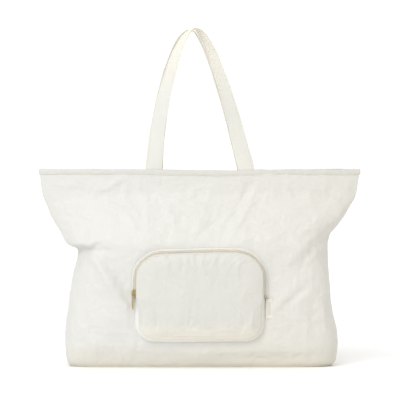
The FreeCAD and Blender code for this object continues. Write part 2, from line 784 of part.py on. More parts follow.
def make_gusset():
    """The pouch's lower wall, from one end of the zip round the bottom to the other."""
    body = new_body("pocket_gusset")
    path = wall_sketch(body, "gusset_path", WALL)
    w, low, r = dim("pouch_half"), dim("pouch_low"), dim("pouch_foot")
    end = "<zip_end> - <wall_gap>"
    top = number(end)
    up = Vector(0, 0, 1)
    quarter = math.pi / 2
    left = Part.ArcOfCircle(
        Part.Circle(Vector(-w + r, low + r), up, r), 2 * quarter, 3 * quarter
    )
    right = Part.ArcOfCircle(
        Part.Circle(Vector(w - r, low + r), up, r), 3 * quarter, 4 * quarter
    )
    g = closed_outline(
        path,
        [
            Part.LineSegment(Vector(-w, top), Vector(-w, low + r)),
            left,
            Part.LineSegment(Vector(-w + r, low), Vector(w - r, low)),
            right,
            Part.LineSegment(Vector(w, low + r), Vector(w, top)),
        ],
    )
    rule = Sketcher.Constraint
    for i in range(4):
        path.addConstraint(rule("Tangent", g + i, END, g + i + 1, START))
    path.addConstraint(rule("Vertical", g))
    path.addConstraint(rule("Symmetric", g + 2, START, g + 2, END, Y_AXIS, 0))
    path.addConstraint(rule("Equal", g + 1, g + 3))
    bind(path, rule("Radius", g + 1, r), "<pouch_foot>")
    bind(path, rule("DistanceX", g, START, *ORIGIN_POINT, w), "<pouch_half>")
    bind(path, rule("DistanceY", *ORIGIN_POINT, g + 2, START, low), "<pouch_low>")
    bind(path, rule("DistanceY", *ORIGIN_POINT, g, START, top), end)
    bind(path, rule("DistanceY", *ORIGIN_POINT, g + 4, END, top), end)
    path.Visibility = False
    section = new_sketch(body, "gusset_section", lift=top, lift_text=end)
    # the wall leans in from the seam to the edge of the pouch's face
    lean_in = "(<pouch_inset> + <cloth>)"
    rise = "(<pouch_deep> - 2 * <wall_gap>)"
    tilted_strip(
        section,
        "-<pouch_half>",
        f"-{WALL} - <wall_gap>",
        f"(-atan({rise} / {lean_in}) / 1 deg)",
        f"sqrt({rise}^2 + {lean_in}^2) - <cloth>",
        "<cloth>",
    )
    doc.recompute()
    return sweep(body, path, section, "gusset_pipe")


def make_pouch_sheet(label, inset, offset, thick):
    """A flat sheet with the pouch's outline, a distance inside its zip line."""
    body = new_body(label)
    sketch = wall_sketch(body, f"{label}_outline", offset)
    rounded_box(
        sketch,
        f"<pouch_half> - {inset}",
        f"<pouch_low> + {inset}",
        f"<pouch_top> - {inset}",
        f"<pouch_foot> - {inset}",
        f"<pouch_round> - {inset}",
    )
    pad(body, sketch, thick, name=f"{label}_pad")
    return finish_body(body)


def zip_frame(height, hand=-1):
    """Placement of the zip's own axes at a height: across, down the zip, out of the zip."""
    turn = math.radians(dim("zip_tilt"))
    wall = dim("belly_deep") + number(ZIP_OUT)
    return Placement(
        Matrix(
            hand * math.cos(turn), 0, hand * math.sin(turn), hand * dim("pouch_half"),
            math.sin(turn), 0, -math.cos(turn), -wall,
            0, hand, 0, height,
            0, 0, 0, 1,
        )
    )


def place(body, height, hand=-1):
    body.Placement = zip_frame(height, hand)
    return finish_body(body)


def plate_sketch(body, name, lift, pieces):
    sketch = new_sketch(body, name, lift=number(lift), lift_text=lift)
    for middle_x, low_y, wide, high in pieces:
        upright_box(sketch, middle_x, low_y, wide, high)
    return sketch


def make_top_stops():
    """Two small blocks that end the coils beside the slider."""
    body = new_body("zipper_top_stops")
    if hasattr(body, "AllowCompound"):
        body.AllowCompound = True
    half = "(<tape_split> + <coil_wide>) / 2"
    sketch = plate_sketch(
        body,
        "stop_outline",
        "0",
        [
            (f"{hand} * {half}", "0", "<coil_wide> - <tape_split> / 2", "<stop_long>")
            for hand in (-1, 1)
        ],
    )
    pad(body, sketch, "<coil_thick>", name="stop_pad")
    return place(body, dim("stop_top"))


def make_bottom_stop():
    """The block that joins both coils at the zip's far end."""
    body = new_body("zipper_bottom_stop")
    sketch = plate_sketch(
        body,
        "far_stop_outline",
        "0",
        [("0", "0", "2 * <coil_wide> + 2 * <slider_gap>", "2 * <stop_long>")],
    )
    pad(body, sketch, "<coil_thick> + <slider_gap>", name="far_stop_pad")
    return place(body, dim("zip_end") + dim("slider_gap"), hand=1)


PLATE_TOP = "(<coil_thick> + <slider_gap> + <plate>)"  # the slider's outer face over the tape


def y_plate(sketch):
    """A slider plate: wide shoulders at its front end and a narrow rear end."""
    front, rear, half = (
        number("<slider_wide> / 2"),
        number("<slider_rear> / 2"),
        number("<slider_long> / 2"),
    )
    points = [
        Vector(-rear, -half),
        Vector(rear, -half),
        Vector(front, 0),
        Vector(front, half),
        Vector(-front, half),
        Vector(-front, 0),
    ]
    g = closed_outline(
        sketch,
        [Part.LineSegment(points[i], points[(i + 1) % 6]) for i in range(6)],
    )
    rule = Sketcher.Constraint
    for i in range(6):
        sketch.addConstraint(rule("Coincident", g + i, END, g + (i + 1) % 6, START))
    for pair in ((0, 0), (1, 5), (3, 3)):
        a, b = g + pair[0], g + pair[1]
        if a == b:
            sketch.addConstraint(rule("Symmetric", a, START, a, END, Y_AXIS, 0))
        else:
            sketch.addConstraint(rule("Symmetric", a, END, b, START, Y_AXIS, 0))
    sketch.addConstraint(rule("Vertical", g + 2))
    sketch.addConstraint(rule("PointOnObject", g + 1, END, X_AXIS))
    bind(sketch, rule("DistanceX", g, START, g, END, 2 * rear), "<slider_rear>")
    bind(sketch, rule("DistanceX", g + 3, END, g + 3, START, 2 * front), "<slider_wide>")
    bind(sketch, rule("DistanceY", g, END, *ORIGIN_POINT, half), "<slider_long> / 2")
    bind(sketch, rule("DistanceY", *ORIGIN_POINT, g + 3, START, half), "<slider_long> / 2")


def make_slider():
    """Two plates joined by a wedge, with lips that hold the coils in."""
    body = new_body("slider_body")
    under = "-(<zip_tape> + <slider_gap> + <plate>)"
    lower = new_sketch(body, "slider_lower", lift=number(under), lift_text=under)
    y_plate(lower)
    pad(body, lower, "<plate>", name="lower_plate")
    over = "<coil_thick> + <slider_gap>"
    upper = new_sketch(body, "slider_upper", lift=number(over), lift_text=over)
    y_plate(upper)
    wedge = plate_sketch(
        body,
        "slider_wedge",
        "-(<zip_tape> + <slider_gap>)",
        [
            (
                "0",
                "<slider_long> / 2 - <wedge_long> - <slider_gap>",
                "<wedge_wide>",
                "<wedge_long>",
            )
        ],
    )
    pad(
        body,
        wedge,
        "<zip_tape> + <coil_thick> + 2 * <slider_gap>",
        name="wedge_pad",
    )
    pad(body, upper, "<plate>", name="upper_plate")
    lip = "(<slider_rear> / 2 - <coil_wide> - <slider_gap>)"
    lips = plate_sketch(
        body,
        "slider_lips",
        "<slider_gap>",
        [
            (
                f"{hand} * (<coil_wide> + <slider_gap> + {lip} / 2)",
                "-<slider_long> / 2",
                lip,
                "<slider_long>",
            )
            for hand in (-1, 1)
        ],
    )
    pad(body, lips, "<coil_thick>", name="lip_pad")
    return place(body, dim("slider_high"))


def arch_sketch(body, name, half, clear, bar):
    """The bridge seen from the side: two legs and a bar, standing on the slider's plate."""
    sketch = new_sketch(body, name, role="YZ_Plane")
    base = PLATE_TOP
    h, c, b, z = number(half), number(clear), number(bar), number(base)
    points = [
        Vector(-h, z),
        Vector(-h, z + c + b),
        Vector(h, z + c + b),
        Vector(h, z),
        Vector(h - b, z),
        Vector(h - b, z + c),
        Vector(-h + b, z + c),
        Vector(-h + b, z),
    ]
    g = closed_outline(
        sketch,
        [Part.LineSegment(points[i], points[(i + 1) % 8]) for i in range(8)],
    )
    rule = Sketcher.Constraint
    for i in range(8):
        sketch.addConstraint(rule("Coincident", g + i, END, g + (i + 1) % 8, START))
        sketch.addConstraint(rule("Horizontal" if i % 2 else "Vertical", g + i))
    sketch.addConstraint(rule("Symmetric", g, START, g + 2, END, Y_AXIS, 0))
    sketch.addConstraint(rule("Equal", g + 3, g + 7))
    bind(sketch, rule("DistanceX", g + 3, END, g + 3, START, b), bar)
    bind(sketch, rule("DistanceY", g + 4, START, g + 4, END, c), clear)
    bind(sketch, rule("DistanceY", g, START, g, END, c + b), f"{clear} + {bar}")
    bind(sketch, rule("DistanceX", *ORIGIN_POINT, g + 2, END, h), half)
    bind(sketch, rule("DistanceY", *ORIGIN_POINT, g + 2, END, z), base)
    return sketch


def make_bridge():
    body = new_body("slider_bridge")
    side = arch_sketch(
        body, "bridge_side", "<bridge_half>", "<bridge_clear>", "<bridge_bar>"
    )
    pad(body, side, "<bridge_wide>", both=True, name="bridge_pad")
    return place(body, dim("slider_high"))


def make_spring():
    """The leaf that locks the slider, flat under the bridge's bar."""
    body = new_body("slider_lock_spring")
    leaf = plate_sketch(
        body,
        "leaf_outline",
        f"{PLATE_TOP} + <bridge_clear> - <spring_leaf>",
        [
            (
                "0",
                "-<bridge_half> + <bridge_bar>",
                "<bridge_wide> * 0.6",
                "2 * (<bridge_half> - <bridge_bar>)",
            )
        ],
    )
    pad(body, leaf, "<spring_leaf>", name="leaf_pad")
    return place(body, dim("slider_high"))


def make_pull():
    """A tab that hangs on an axle under the bridge, with a slot round the bridge."""
    body = new_body("pull_tab")
    base = f"{PLATE_TOP} + <axle_rise> - <pull_thick> / 2"
    plate = new_sketch(body, "pull_outline", lift=number(base), lift_text=base)
    rounded_box(
        plate,
        "<pull_wide> / 2",
        "<axle_drop> - <pull_thick> / 2",
        "<axle_drop> + <pull_long>",
        "<pull_thick> / 2",
        "<pull_wide> * 0.4",
    )
    pad(body, plate, "<pull_thick>", name="pull_pad")
    doc.recompute()
    slot = new_sketch(body, "pull_slot_outline", lift=number(base), lift_text=base)
    rounded_box(
        slot,
        "<pull_slot> / 2",
        "<axle_drop> + <pull_thick> / 2",
        "<axle_drop> + <pull_reach>",
        "<pull_thick> / 3",
        "<pull_slot> / 3",
    )
    pocket(body, slot, "<pull_thick>", flip=True, name="pull_slot_cut")
    return place(body, dim("slider_high"))


def make_label():
    """A tape folded double, with its fold outwards and both ends in the pouch's seam."""
    body = new_body("side_label")
    low = "<zip_end> - 2 * <wall_gap> - <label_high>"
    sketch = new_sketch(body, "label_fold", lift=number(low), lift_text=low)
    ply = "<label_ply>"
    start = "<pouch_half> + <cloth> + 2 * <wall_gap>"
    for layer in (0, 1):
        tilted_strip(
            sketch,
            f"{start}",
            f"-{WALL} - <wall_gap> - {2 * layer + 1} * {ply}",
            "0",
            f"<label_wide> - {ply}",
            ply,
        )
    pad(body, sketch, "<label_high>", name="label_pad")
    fold = new_sketch(body, "label_turn", lift=number(low), lift_text=low)
    tilted_strip(
        fold,
        f"{start} + <label_wide> - {ply}",
        f"-{WALL} - <wall_gap> - 3 * {ply}",
        "0",
        ply,
        f"3 * {ply}",
    )
    pad(body, fold, "<label_high>", name="label_turn_pad")
    return finish_body(body)


# ---------------------------------------------------------------- the whole bag

FRONT, BACK = -1, 1

make_wall("front_panel", FRONT)
make_wall("back_panel", BACK)
make_base()
make_base_binding()
make_mouth_binding("mouth_binding_front", FRONT)
make_mouth_binding("mouth_binding_back", BACK)
make_side_binding("side_seam_binding_left", -1)
make_side_binding("side_seam_binding_right", 1)
make_strap("front_strap", FRONT)
make_strap("back_strap", BACK)
make_tails("front_strap_tails", FRONT)
make_tails("back_strap_tails", BACK)
make_stitching("front_strap_stitching", FRONT)
make_stitching("back_strap_stitching", BACK)
make_pouch_sheet(
    "pocket_front_panel", "<pouch_inset>", f"{WALL} + <pouch_deep>", "<cloth>"
)
make_pouch_sheet(
    "pocket_lining", "0", f"{WALL} - <cloth> - <wall_gap> - <lining>", "<lining>"
)
make_gusset()
make_zip_strip(
    "zipper_tape_outer",
    "<zip_end>",
    "<zip_end>",
    "<tape_split> / 2",
    "<tape_out>",
    "-<zip_tape>",
    "<zip_tape>",
)
make_zip_strip(
    "zipper_tape_inner",
    "<zip_end>",
    "<zip_end>",
    "-<tape_in>",
    "-<tape_split> / 2",
    "-<zip_tape>",
    "<zip_tape>",
)
COIL_LEFT = "<slider_high> - <slider_long> / 2 + <wedge_long> + 2 * <slider_gap>"
COIL_RIGHT = "<zip_end> + 2 * <stop_long> + 2 * <slider_gap>"
make_zip_strip(
    "zipper_coil_outer",
    COIL_LEFT,
    COIL_RIGHT,
    "0",
    "<coil_wide>",
    "0",
    "<coil_thick>",
)
make_zip_strip(
    "zipper_coil_inner",
    COIL_LEFT,
    COIL_RIGHT,
    "-<coil_wide>",
    "0",
    "0",
    "<coil_thick>",
)
make_top_stops()
make_bottom_stop()
make_slider()
make_bridge()
make_spring()
make_pull()
make_label()
doc.recompute()

NODES = [
    "front_panel",
    "back_panel",
    "base_panel",
    "base_seam_binding",
    "mouth_binding_front",
    "mouth_binding_back",
    "side_seam_binding_left",
    "side_seam_binding_right",
    "front_strap",
    "back_strap",
    "front_strap_tails",
    "back_strap_tails",
    "front_strap_stitching",
    "back_strap_stitching",
    "pocket_front_panel",
    "pocket_lining",
    "pocket_gusset",
    "zipper_tape_outer",
    "zipper_tape_inner",
    "zipper_coil_outer",
    "zipper_coil_inner",
    "zipper_top_stops",
    "zipper_bottom_stop",
    "slider_body",
    "slider_bridge",
    "slider_lock_spring",
    "pull_tab",
    "side_label",
]

for thing in doc.Objects:
    if "Invalid" in thing.State or "Error" in thing.State:
        raise RuntimeError(f"{thing.Label} failed: {thing.State}")

os.makedirs("parts", exist_ok=True)
for label in NODES:
    part = doc.getObjectsByLabel(label)[0]
    shape = part.Shape
    if shape.isNull() or not shape.isValid() or not shape.Solids:
        raise RuntimeError(f"{label} has no valid shape")
    box = shape.BoundBox
    shape.exportStep(f"parts/{label}.step")
    print(
        f"{label}: {len(shape.Solids)} solids, {shape.Volume:.1f} mm3, "
        f"x {box.XMin:.1f}..{box.XMax:.1f} y {box.YMin:.1f}..{box.YMax:.1f} "
        f"z {box.ZMin:.1f}..{box.ZMax:.1f}"
    )
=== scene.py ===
import math
import bmesh
import bpy
import numpy as np
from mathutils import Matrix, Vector


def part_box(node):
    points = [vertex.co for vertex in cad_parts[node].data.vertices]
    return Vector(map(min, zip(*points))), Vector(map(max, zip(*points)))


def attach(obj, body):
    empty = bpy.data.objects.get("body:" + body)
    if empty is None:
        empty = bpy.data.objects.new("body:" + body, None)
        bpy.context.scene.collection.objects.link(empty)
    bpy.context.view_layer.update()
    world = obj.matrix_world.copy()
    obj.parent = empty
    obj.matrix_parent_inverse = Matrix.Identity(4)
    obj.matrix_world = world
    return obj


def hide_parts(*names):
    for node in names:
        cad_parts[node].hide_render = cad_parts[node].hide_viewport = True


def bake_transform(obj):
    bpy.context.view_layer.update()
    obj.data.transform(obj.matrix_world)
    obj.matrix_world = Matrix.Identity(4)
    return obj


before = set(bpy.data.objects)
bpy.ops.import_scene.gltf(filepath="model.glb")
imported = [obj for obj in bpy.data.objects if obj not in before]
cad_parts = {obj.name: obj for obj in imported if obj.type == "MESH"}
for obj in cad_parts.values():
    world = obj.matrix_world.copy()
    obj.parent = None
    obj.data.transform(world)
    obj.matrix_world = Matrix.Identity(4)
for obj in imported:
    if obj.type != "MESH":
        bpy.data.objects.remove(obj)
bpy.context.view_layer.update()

mm = 0.001  # every size below is in millimetres until its piece is made


def cadSpan(node):  # lowest and highest corner of a CAD piece, in millimetres
    low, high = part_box(node)
    return np.array(low) / mm, np.array(high) / mm


# numbers and curves

def ease(low, high, value):  # 0 below low, 1 above high, t*t*(3 - 2t) between
    t = np.clip((np.asarray(value, float) - low) / (high - low), 0, 1)
    return t * t * (3 - 2 * t)


def curveThrough(value, knots):
    # cubic pieces through the knots; the slope at a knot is the harmonic mean of its
    # neighbours' slopes, so the curve never overshoots
    kx, ky = np.array(knots, float).T
    gap = np.diff(kx)
    slope = np.diff(ky) / gap
    bend = np.zeros(len(kx))
    product = slope[:-1] * slope[1:]
    total = slope[:-1] + slope[1:]
    bend[1:-1] = np.where(product > 0, 2 * product / np.where(total == 0, 1, total), 0)
    bend[0], bend[-1] = slope[0], slope[-1]
    value = np.clip(value, kx[0], kx[-1])
    i = np.clip(np.searchsorted(kx, value, side="right") - 1, 0, len(gap) - 1)
    t = (value - kx[i]) / gap[i]
    return (
        ky[i] * (1 + 2 * t) * (1 - t) ** 2
        + bend[i] * gap[i] * t * (1 - t) ** 2
        + ky[i + 1] * t * t * (3 - 2 * t)
        + bend[i + 1] * gap[i] * t * t * (t - 1)
    )


def lumps(x, y, size, seed):
    # smooth noise from -1 to 1: random heights on a lattice, eased between
    lattice = np.random.default_rng(seed).random((64, 64)) * 2 - 1
    u, v = np.asarray(x, float) / size, np.asarray(y, float) / size
    i, j = np.floor(u).astype(int), np.floor(v).astype(int)
    a, b = ease(0, 1, u - i), ease(0, 1, v - j)
    i, j, i1, j1 = i % 64, j % 64, (i + 1) % 64, (j + 1) % 64
    near = lattice[i, j] * (1 - a) + lattice[i1, j] * a
    far = lattice[i, j1] * (1 - a) + lattice[i1, j1] * a
    return near * (1 - b) + far * b


def crumple(x, y, size, seed, octaves=4, fade=0.55):
    # sharp creases between soft facets: sum of (1 - 2 * sqrt(noise^2 + soft)) on turned,
    # stretched coordinates, each octave half the size of the last
    rng = np.random.default_rng(seed)
    total = np.zeros(np.shape(x))
    x = x + size * 0.5 * lumps(x, y, size * 1.3, seed + 50)
    y = y + size * 0.5 * lumps(x, y, size * 1.3, seed + 51)
    for k in range(octaves):
        turn = rng.random() * math.pi
        along = x * math.cos(turn) + y * math.sin(turn)
        across = y * math.cos(turn) - x * math.sin(turn)
        noise = lumps(along * 0.6, across, size * 0.5**k, seed + 3 * k + 1)
        total = total + fade**k * (1 - 2 * np.sqrt(noise**2 + 0.003))
    return total


def foldAlong(x, y, path, left, right, rise, edge=0):
    # a ridge: rise * exp(-distance / width), rounded at its crest; with an edge it is a step
    # instead, up on the left of the path and down on its right: rise * tanh(distance / edge) *
    # exp(-distance / width). Both die away towards the path's ends
    best = np.full(np.shape(x), 1e9)
    signed, share = np.zeros(np.shape(x)), np.zeros(np.shape(x))
    ends = np.array(path, float)
    steps = np.diff(ends, axis=0)
    lengths = np.hypot(*steps.T)
    whole, done = lengths.sum(), 0.0
    for start, step, length in zip(ends, steps, lengths):
        t = np.clip(((x - start[0]) * step[0] + (y - start[1]) * step[1]) / length**2, 0, 1)
        dx, dy = x - start[0] - t * step[0], y - start[1] - t * step[1]
        away = np.hypot(dx, dy)
        nearer = away < best
        best = np.where(nearer, away, best)
        signed = np.where(nearer, np.sign(step[0] * dy - step[1] * dx), signed)
        share = np.where(nearer, (done + t * length) / whole, share)
        done += length
    width = np.where(signed > 0, left, right)
    crest = np.exp(1 - np.sqrt(1 + (best / width) ** 2 * 4))
    if edge:
        crest = crest * signed * np.tanh(best / edge)
    return rise * crest * np.sin(math.pi * np.clip(share, 0.001, 0.999)) ** 0.8


# meshes

def gridFaces(rows, columns, closeRows=False, closeColumns=False, flip=False):
    # quads between the neighbours of a grid, with its last row or column joined to its first
    i = np.arange(rows if closeRows else rows - 1)
    j = np.arange(columns if closeColumns else columns - 1)
    i, j = np.meshgrid(i, j, indexing="ij")
    i1, j1 = (i + 1) % rows, (j + 1) % columns
    quads = np.stack([i * columns + j, i * columns + j1, i1 * columns + j1, i1 * columns + j], -1)
    quads = quads.reshape(-1, 4)
    return quads[:, ::-1] if flip else quads


def tubeFaces(rows, columns, flip=False):
    # a closed profile of `columns` points carried over `rows` places, with both ends capped
    faces = gridFaces(rows, columns, closeColumns=True, flip=flip).tolist()
    first = list(range(columns))
    last = list(range((rows - 1) * columns, rows * columns))
    return faces + ([first, last[::-1]] if flip else [first[::-1], last])


def makePiece(name, points, faces, body, finish, nodes=(), uv=None, sharp=None):
    # points and uv come in millimetres, and the mesh and its map are in metres
    mesh = bpy.data.meshes.new(name)
    flat = np.asarray(points, float).reshape(-1, 3) * mm
    mesh.from_pydata(flat.tolist(), [], [list(map(int, f)) for f in faces])
    mesh.polygons.foreach_set("use_smooth", np.ones(len(mesh.polygons), bool))
    if uv is not None:
        corner = np.zeros(len(mesh.loops), int)
        mesh.loops.foreach_get("vertex_index", corner)
        layer = mesh.uv_layers.new(name="cloth")
        layer.data.foreach_set("uv", (np.asarray(uv, float).reshape(-1, 2) * mm)[corner].ravel())
    mesh.update()
    if sharp:
        mesh.set_sharp_from_angle(angle=math.radians(sharp))
    piece = bpy.data.objects.new(name, mesh)
    bpy.context.scene.collection.objects.link(piece)
    piece.data.materials.append(finish)
    if body:
        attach(piece, body)
    if nodes:
        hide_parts(*nodes)
    return piece


def thicken(piece, thickness, offset=-1.0):  # gives a sheet its ply
    solid = piece.modifiers.new("ply", "SOLIDIFY")
    solid.thickness = thickness * mm
    solid.offset = offset


def unit(vectors):  # v / |v|
    return vectors / np.maximum(np.linalg.norm(vectors, axis=-1, keepdims=True), 1e-12)


def reachOf(line):  # the length of a line of points up to each of them
    return np.concatenate([[0], np.cumsum(np.linalg.norm(np.diff(line, axis=0), axis=1))])


def alongAt(at, reach, line):  # values between a line's points, at lengths along it
    return np.stack([np.interp(at, reach, axis) for axis in line.T], -1)


def sideOf(ring):  # level direction square to a closed ring of points
    ahead = unit(np.roll(ring, -1, 0) - np.roll(ring, 1, 0))
    return np.stack([ahead[:, 1], -ahead[:, 0], ahead[:, 0] * 0], -1)


def alongLine(points, step):  # even places on a line of points, and its direction there
    points = np.asarray(points, float)
    reach = reachOf(points)
    count = max(int(round(reach[-1] / step)), 2)
    even = np.linspace(0, reach[-1], count + 1)
    place = alongAt(even, reach, points)
    return place, unit(np.gradient(place, axis=0)), even


def roundedLine(corners, radii, step):
    # straight runs joined by arcs, evenly spaced, with the outward side on the left
    points = [np.array(corners[0], float)]
    for before, corner, after, radius in zip(corners, corners[1:], corners[2:], radii):
        before, corner, after = (np.array(p, float) for p in (before, corner, after))
        back, on = unit(before - corner), unit(after - corner)
        half = math.acos(np.clip(back @ on, -1, 1)) / 2
        middle = corner + unit(back + on) * radius / math.sin(half)
        start, end = corner + back * radius / math.tan(half), corner + on * radius / math.tan(half)
        turn = np.linspace(0, 1, 25)[:, None]
        spoke = unit((start - middle) * (1 - turn) + (end - middle) * turn)
        points += list(middle + spoke * radius)
    points.append(np.array(corners[-1], float))
    place, ahead, even = alongLine(points, step)
    return place, np.stack([-ahead[:, 1], ahead[:, 0]], -1), even


def stitches(name, lines, body, pitch=3.0, thread=0.24, finish=None, sink=0.12, blend=None):
    # each stitch is a bent capsule: its middle stands proud by the thread's radius and its ends
    # go into the cloth. lines is a list of (points, outward directions)
    rings, sides = 7, 6
    s = np.linspace(-0.5, 0.5, rings)
    girth = thread * np.sqrt(np.clip(1 - (2 * s) ** 6, 0.02, 1))
    turn = np.arange(sides) / sides * 2 * math.pi
    pointsAll, facesAll, base = [], [], 0
    faces = tubeFaces(rings, sides)
    for line, outward in lines:
        line, outward = np.asarray(line, float), np.asarray(outward, float)
        reach = reachOf(line)
        count = max(int(reach[-1] / pitch), 1)
        at = (np.arange(count) + 0.5) * reach[-1] / count
        place = alongAt(at, reach, line)
        ahead = unit(alongAt(at + 0.5, reach, line) - alongAt(at - 0.5, reach, line))
        out = unit(alongAt(at, reach, outward))
        side = np.cross(ahead, out)
        long = pitch * 0.78 * s
        rise = thread * 0.7 - (sink + thread) * (2 * s) ** 4
        spot = (
            place[:, None, None] + ahead[:, None, None] * long[None, :, None, None]
            + out[:, None, None] * (rise[:, None] + girth[:, None] * np.cos(turn))[None, :, :, None]
            + side[:, None, None] * (girth[:, None] * np.sin(turn))[None, :, :, None]
        )
        pointsAll.append(spot.reshape(-1, 3))
        facesAll += [[i + base + k * rings * sides for i in face] for k in range(count) for face in faces]
        base += count * rings * sides
    piece = makePiece(name, np.concatenate(pointsAll), facesAll, None if blend else body, finish)
    if blend:
        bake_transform(piece)
    return piece


# finishes

class Value:
    # a socket; sums and products of values add their Math nodes
    def __init__(self, finish, socket):
        self.finish, self.socket = finish, socket

    def maths(self, operation, *others):
        return self.finish.node("Math", {"operation": operation}, dict(enumerate([self, *others])))

    def __add__(self, other):
        return self.maths("ADD", other)

    def __sub__(self, other):
        return self.maths("SUBTRACT", other)

    def __rsub__(self, other):
        return self * -1 + other

    def __mul__(self, other):
        return self.maths("MULTIPLY", other)

    __radd__ = __add__
    __rmul__ = __mul__


class Finish:
    # a material being put together round one Principled shader
    def __init__(self, name, **uniform):
        self.material = bpy.data.materials.new(name)
        self.material.use_nodes = True
        self.tree = self.material.node_tree
        self.shader = self.tree.nodes["Principled BSDF"]
        for socket, value in uniform.items():
            self.shader.inputs[socket.replace("_", " ")].default_value = value

    def node(self, kind, settings, sockets, output=0):
        made = self.tree.nodes.new("ShaderNode" + kind)
        for key, value in settings.items():
            setattr(made, key, value)
        for key, value in sockets.items():
            socket = made.inputs[key] if isinstance(key, int) else next(
                s for s in made.inputs if s.identifier == key or s.name == key)
            if isinstance(value, Value):
                self.tree.links.new(value.socket, socket)
            else:
                socket.default_value = value
        if isinstance(output, str):
            return Value(self, next(s for s in made.outputs if output in (s.identifier, s.name)))
        return Value(self, made.outputs[output])

    def coords(self, kind="Object", scale=(1, 1, 1)):  # metres on the cloth, or in the frame
        start = (self.node("UVMap", {"uv_map": "cloth"}, {}) if kind == "UV"
                 else self.node("TexCoord", {}, {}, "Object"))
        return self.node("Mapping", {}, {"Vector": start, "Scale": scale})

    def part(self, where, axis):
        return self.node("SeparateXYZ", {}, {"Vector": where}, axis)

    def between(self, value, start, end):  # 0 at start, 1 at end, held there outside
        return self.node("MapRange", {}, {"Value": value, "From Min": start, "From Max": end})

    def noise(self, where, scale, detail=2.0, rough=0.5, warp=0.0):
        return self.node("TexNoise", {}, {"Vector": where, "Scale": scale, "Detail": detail,
                                          "Roughness": rough, "Distortion": warp}, "Fac")

    def cells(self, where, scale):  # distance to the edge of the nearest facet
        return self.node("TexVoronoi", {"feature": "DISTANCE_TO_EDGE"},
                         {"Vector": where, "Scale": scale}, "Distance")

    def waves(self, where, way, scale, warp=0.0):
        return self.node("TexWave", {"wave_profile": "SIN", "bands_direction": way},
                         {"Vector": where, "Scale": scale, "Distortion": warp}, "Fac")

    def mix(self, share, a, b):
        return self.node("Mix", {"data_type": "RGBA"},
                         {"Factor_Float": share, "A_Color": a, "B_Color": b}, "Result_Color")

    def feed(self, socket, value):
        self.tree.links.new(value.socket, self.shader.inputs[socket])

    def bump(self, *layers):  # each layer is (height, distance in metres, strength)
        normal = None
        for height, distance, strength in layers:
            sockets = {"Height": height, "Distance": distance, "Strength": strength}
            if normal:
                sockets["Normal"] = normal
            normal = self.node("Bump", {}, sockets, "Normal")
        self.feed("Normal", normal)
        return self.material


waveStep = 0.314  # a wave texture's scale times the length of one wave


def weave(finish, where, pitch):
    # over and under of a plain weave: warp * weft + (1 - warp) * (1 - weft) of two sine waves
    warp = finish.waves(where, "X", waveStep / pitch)
    weft = finish.waves(where, "Y", waveStep / pitch)
    return warp * weft + (1 - warp) * (1 - weft)


# light and shade are painted lit and shaded tints of one cloth, mixed in noise patches with more painted
# shade towards the right; towards the ground the cloth turns to foot over footSpan's heights, a painted
# band: painted shade on most cloths, painted light on the pouch;
# creases are facets in a metre, and grain, weaveRise and threadPitch are metres
nylonLook = {
    "light": (0.660, 0.656, 0.628, 1), "shade": (0.636, 0.610, 0.540, 1), "foot": (0.62, 0.565, 0.44, 1),
    "footSpan": (0.055, 0.012), "warmRight": 1.3, "wornFoot": 0.55, "roughness": 0.50,
    "bigCrease": 52.0, "smallCrease": 130.0, "threadPitch": 0.00055, "grain": 0.00012,
    "weaveRise": 0.00005,
}


def clothFinish(name, look, crinkle=1.0):
    # large and small creases, a grain and a weave, with painted light and shade that change over the bag
    made = Finish(name, Roughness=look["roughness"], Sheen_Weight=0.2, Sheen_Roughness=0.45,
                  Specular_IOR_Level=0.42)
    where = made.coords()
    bent = made.noise(where, 38.0, 3.0, 0.55)
    blotch = made.noise(where, 9.0, 3.0, 0.6)
    x, z = made.part(where, "X"), made.part(where, "Z")
    # painted shade: the shaded tint comes in noise patches and grows towards the right
    warm = blotch * 0.7 + bent * 0.4 - 0.40 + x * look["warmRight"]
    tint = made.mix(made.node("Clamp", {}, {"Value": warm}), look["light"], look["shade"])
    if "edge" in look:  # painted shade: a golden tint on one edge of a ribbon, and on its other edge near the top; painted light: a lighter tint towards the crown
        across = made.part(made.coords("UV"), "X")
        left = made.between(across * -1, *look["edgeSpan"])
        front = made.between(across, *look["edgeSpan"]) * made.between(z, *look["topSpan"])
        tint = made.mix(made.between(z, *look["crownSpan"]) * 0.9, tint, look["crown"])
        tint = made.mix(left * 0.8 + front * 0.8, tint, look["edge"])
    # painted foot band towards the ground: painted shade on most cloths, painted light on the pouch
    worn = made.between(z + bent * 0.03, *look["footSpan"])
    made.feed("Base Color", made.mix(worn * look["wornFoot"], tint, look["foot"]))
    warped = made.node("Mix", {"data_type": "VECTOR"}, {
        "Factor_Float": 0.035, "A_Vector": where,
        "B_Vector": made.node("TexNoise", {}, {"Vector": where, "Scale": 30.0, "Detail": 2.0}, "Color")},
        "Result_Vector")
    big = made.cells(warped, look["bigCrease"])
    small = made.cells(warped, look["smallCrease"])
    fine = made.noise(where, 420.0, 4.0, 0.6)
    threads = weave(made, made.coords("UV"), look["threadPitch"])
    made.feed("Roughness", made.noise(where, 160.0, 2.0, 0.5) * 0.16 + look["roughness"] - 0.08)
    return made.bump((big + bent * 0.8, 0.0011 * crinkle, 0.55), (small, 0.00045 * crinkle, 0.55),
                     (fine, look["grain"], 0.45), (threads, look["weaveRise"], 0.35))


def cloth(name, light, shade, crinkle=1.0, **changes):  # a cloth finish that differs from plain nylon
    look = dict(nylonLook, light=(*light, 1), shade=(*shade, 1), **changes)
    return clothFinish(name, look, crinkle=crinkle)


